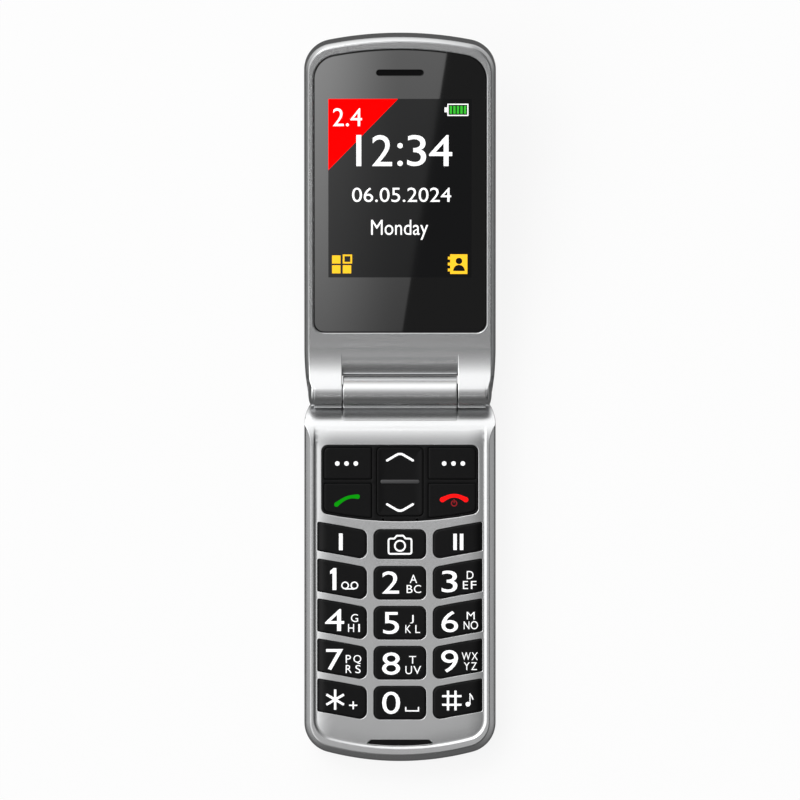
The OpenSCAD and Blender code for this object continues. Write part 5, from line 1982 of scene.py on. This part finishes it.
@dataclass
class FrameParts:
    """The CAD nodes that keep their shape and get a finish."""

    finishes: dict[str, Finish]

    def build(self) -> None:
        """Gives each node that still shows the finish of its slot."""
        slots = {part["node"]: part["material_slot"] for part in frame["record"]["subparts"]}
        for name, node in frame["nodes"].items():
            node.data.materials.clear()
            node.data.materials.append(self.finishes[slots[name]].material())
        log.info("frame parts: %d nodes dressed", len(slots))


# ---- studio ----


@dataclass
class Studio:
    """Floor, lights, the panel that the lens mirrors, and the camera."""

    pixels: int = 800
    pixel: float = 0.0002614
    axis_row: float = 392.0
    distance: float = 8.0
    sky: Points = ((-1.2, 0.04), (-0.85, 0.06), (-0.7, 0.13), (-0.5, 0.28), (-0.25, 0.31), (0.0, 0.39),
                   (0.24, 0.64), (0.35, 0.9), (0.5, 1.35), (0.65, 1.5), (1.2, 1.5))
    sky_strength: float = 2.0
    side_pull: float = 1.9
    horizon: Pair = (0.14, 0.82)
    horizon_y: float = 0.9
    horizon_z: Pair = (0.32, 0.6)
    paper_side: float = 15.0
    paper_glow: float = 0.88
    paper_dim: float = 0.12
    paper_matt: float = 0.13
    panel_far: float = 1.3
    panel_marks: Points = ((-26.0, 12.0), (-0.06, 12.0), (12.93, 96.0), (-26.0, 99.0))
    panel_light: Pair = (2.4, 6.6)
    panel_fade_x: Pair = (-0.0235, 0.001)
    panel_fade: Pair = (1.0, 0.42)
    lamp_at: tuple[float, float, float] = (-0.9, 1.1, 1.9)
    lamp_size: float = 1.1
    lamp_power: float = 9.0
    sensor: float = 36.0

    @property
    def eye_y(self) -> float:
        """Place of the camera along the phone, which puts the hinge axis on its own row."""
        return L.hinge_y / 1000 - (self.pixels / 2 - self.axis_row) * self.pixel

    def world(self) -> None:
        """A sky that is seen as plain white by the camera itself.

        Overhead its brightness is read from the table at y - side_pull * x of the direction, so it
        grows towards the upper left. Near the horizon it turns to a dim band, dimmest at the near end.
        """
        made = bpy.data.worlds.new("studio")
        bpy.context.scene.world = made
        tree = Tree(made)
        where = tree.add("TexCoord", {}).outputs["Generated"]
        split = tree.add("SeparateXYZ", {0: where})
        lean = tree.add("VectorMath", {0: where, 1: (-self.side_pull, 1, 0)}, operation="DOT_PRODUCT")
        end = self.sky[-1][0]
        ramp = tree.add("ValToRGB", {"Fac": tree.mapped(lean.outputs["Value"], (-end, end), (0, 1))})
        stops = ramp.color_ramp.elements
        while len(stops) < len(self.sky):
            stops.new(0.5)
        for stop, (at, value) in zip(stops, self.sky):
            stop.position = (at + end) / (2 * end)
            stop.color = (*[value / self.sky_strength] * 3, 1)
        near, far = (value / self.sky_strength for value in self.horizon)
        low = tree.mapped(split.outputs["Y"], (-self.horizon_y, self.horizon_y), (near, far))
        high = tree.mapped(split.outputs["Z"], self.horizon_z, (0, 1), Fade.SMOOTH)
        sky = tree.add("Mix", {"Factor": high, "A": low, "B": ramp.outputs["Color"]}, data_type="RGBA")
        soft = tree.add("Background", {"Strength": self.sky_strength, "Color": sky.outputs["Result"]})
        plain = tree.add("Background", {"Color": (1, 1, 1, 1)})
        seen = tree.add("LightPath", {}).outputs["Is Camera Ray"]
        mix = tree.add("MixShader", {0: seen, 1: soft.outputs[0], 2: plain.outputs[0]})
        tree.add("OutputWorld", {"Surface": mix.outputs[0]})

    def floor(self) -> None:
        """A pale floor: white to the camera and darker where the object shades it; mirrored it is dim."""
        paper = bpy.data.materials.new("floor_paper")
        tree = Tree(paper)
        path = tree.add("LightPath", {})
        lit = tree.math("MULTIPLY", path.outputs["Is Camera Ray"], self.paper_glow)
        glow = tree.add("Emission", {"Strength": lit})
        matt = tree.add("BsdfDiffuse", {"Color": (*[self.paper_matt] * 3, 1)})
        plain = tree.add("AddShader", {0: glow.outputs[0], 1: matt.outputs[0]})
        dim = tree.add("Emission", {"Strength": self.paper_dim})
        mirrored = tree.math("MAXIMUM", path.outputs["Is Glossy Ray"], path.outputs["Is Transmission Ray"])
        mix = tree.add("MixShader", {0: mirrored, 1: plain.outputs[0], 2: dim.outputs[0]})
        tree.add("OutputMaterial", {"Surface": mix.outputs[0]})
        side = self.paper_side
        sheet("floor", np.column_stack((bar(-side, -side, side, side), np.zeros(4))), paper)

    def card(self) -> None:
        """A bright panel beyond the keypad end that the lens mirrors, with one slanting edge.

        A point of the lens, mirrored from the camera, sees the sky twice the tilt towards the keypad
        end. The panel stands across that direction and its corners are points of the lens carried
        along their own mirrored rays, so that its slanting edge crosses the lens from the far right to
        the middle.
        """
        normal = np.array([0, -math.sin(L.lean), math.cos(L.lean)])
        flat = Half.FLIP.place(ring_at(np.array(self.panel_marks), DisplayHalf.lens_top))
        ray = unit(flat - np.array([0, self.eye_y, self.distance]))
        corners = flat + (ray - 2 * (ray @ normal)[:, None] * normal) * self.panel_far
        light = bpy.data.materials.new("mirror_panel_light")
        tree = Tree(light)
        split = tree.add("SeparateXYZ", {0: tree.add("TexCoord", {}).outputs["Object"]})
        start, end = corners[:2, 1].min(), corners[2:, 1].max()
        left, right = (x * (1 + self.panel_far / self.distance) for x in self.panel_fade_x)
        along = tree.mapped(split.outputs["Y"], (start, end), self.panel_light)
        across = tree.mapped(split.outputs["X"], (left, right), self.panel_fade, Fade.SMOOTH)
        glow = tree.add("Emission", {"Strength": tree.math("MULTIPLY", along, across)})
        tree.add("OutputMaterial", {"Surface": glow.outputs[0]})
        obj = sheet("mirror_panel", corners, light)
        obj.visible_camera = obj.visible_diffuse = obj.visible_shadow = obj.visible_transmission = False

    def lamp(self) -> None:
        """One soft light from the upper left, for shape and a faint shadow."""
        light = bpy.data.lights.new("soft_box", "AREA")
        light.shape, light.size, light.energy = "DISK", self.lamp_size, self.lamp_power
        obj = link("soft_box", light)
        obj.location = self.lamp_at
        aim = Vector((0, 0.05, 0)) - Vector(self.lamp_at)
        obj.rotation_euler = aim.to_track_quat("-Z", "Y").to_euler()

    def camera(self) -> None:
        """Straight above, far away, with the hinge axis on its own row of the picture."""
        data = bpy.data.cameras.new("camera")
        data.type = "PERSP"
        data.sensor_width = self.sensor
        data.lens = self.sensor * (self.distance - L.base_t / 1000) / (self.pixels * self.pixel)
        data.clip_start, data.clip_end = 0.1, 100
        data.dof.use_dof = False
        obj = link("camera", data)
        obj.location = (0, self.eye_y, self.distance)
        bpy.context.scene.camera = obj

    def build(self) -> None:
        """Sets the stage."""
        self.camera()
        self.world()
        self.floor()
        self.card()
        self.lamp()
        bpy.context.scene.view_settings.view_transform = "Standard"
        log.info("studio: floor, sky, lamp, panel and camera")


def main() -> None:
    """Builds the phone piece by piece and the studio round it."""
    logging.basicConfig(level=logging.INFO, format="%(name)s: %(message)s")
    block, keypad = NavigationBlock(), Keypad()
    FrameParts(SLOT_FINISHES).build()
    KeypadHalf(keypad, block).build()
    block.build()
    keypad.build()
    DisplayHalf().build()
    HingeCaps().build()
    Studio().build()
    box_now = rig.bounds()
    with open("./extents.json", "w") as out:
        json.dump({"cad": [list(c) for c in CAD_BOX], "visual": [list(c) for c in box_now]}, out)


if __name__ == "__main__":
    main()
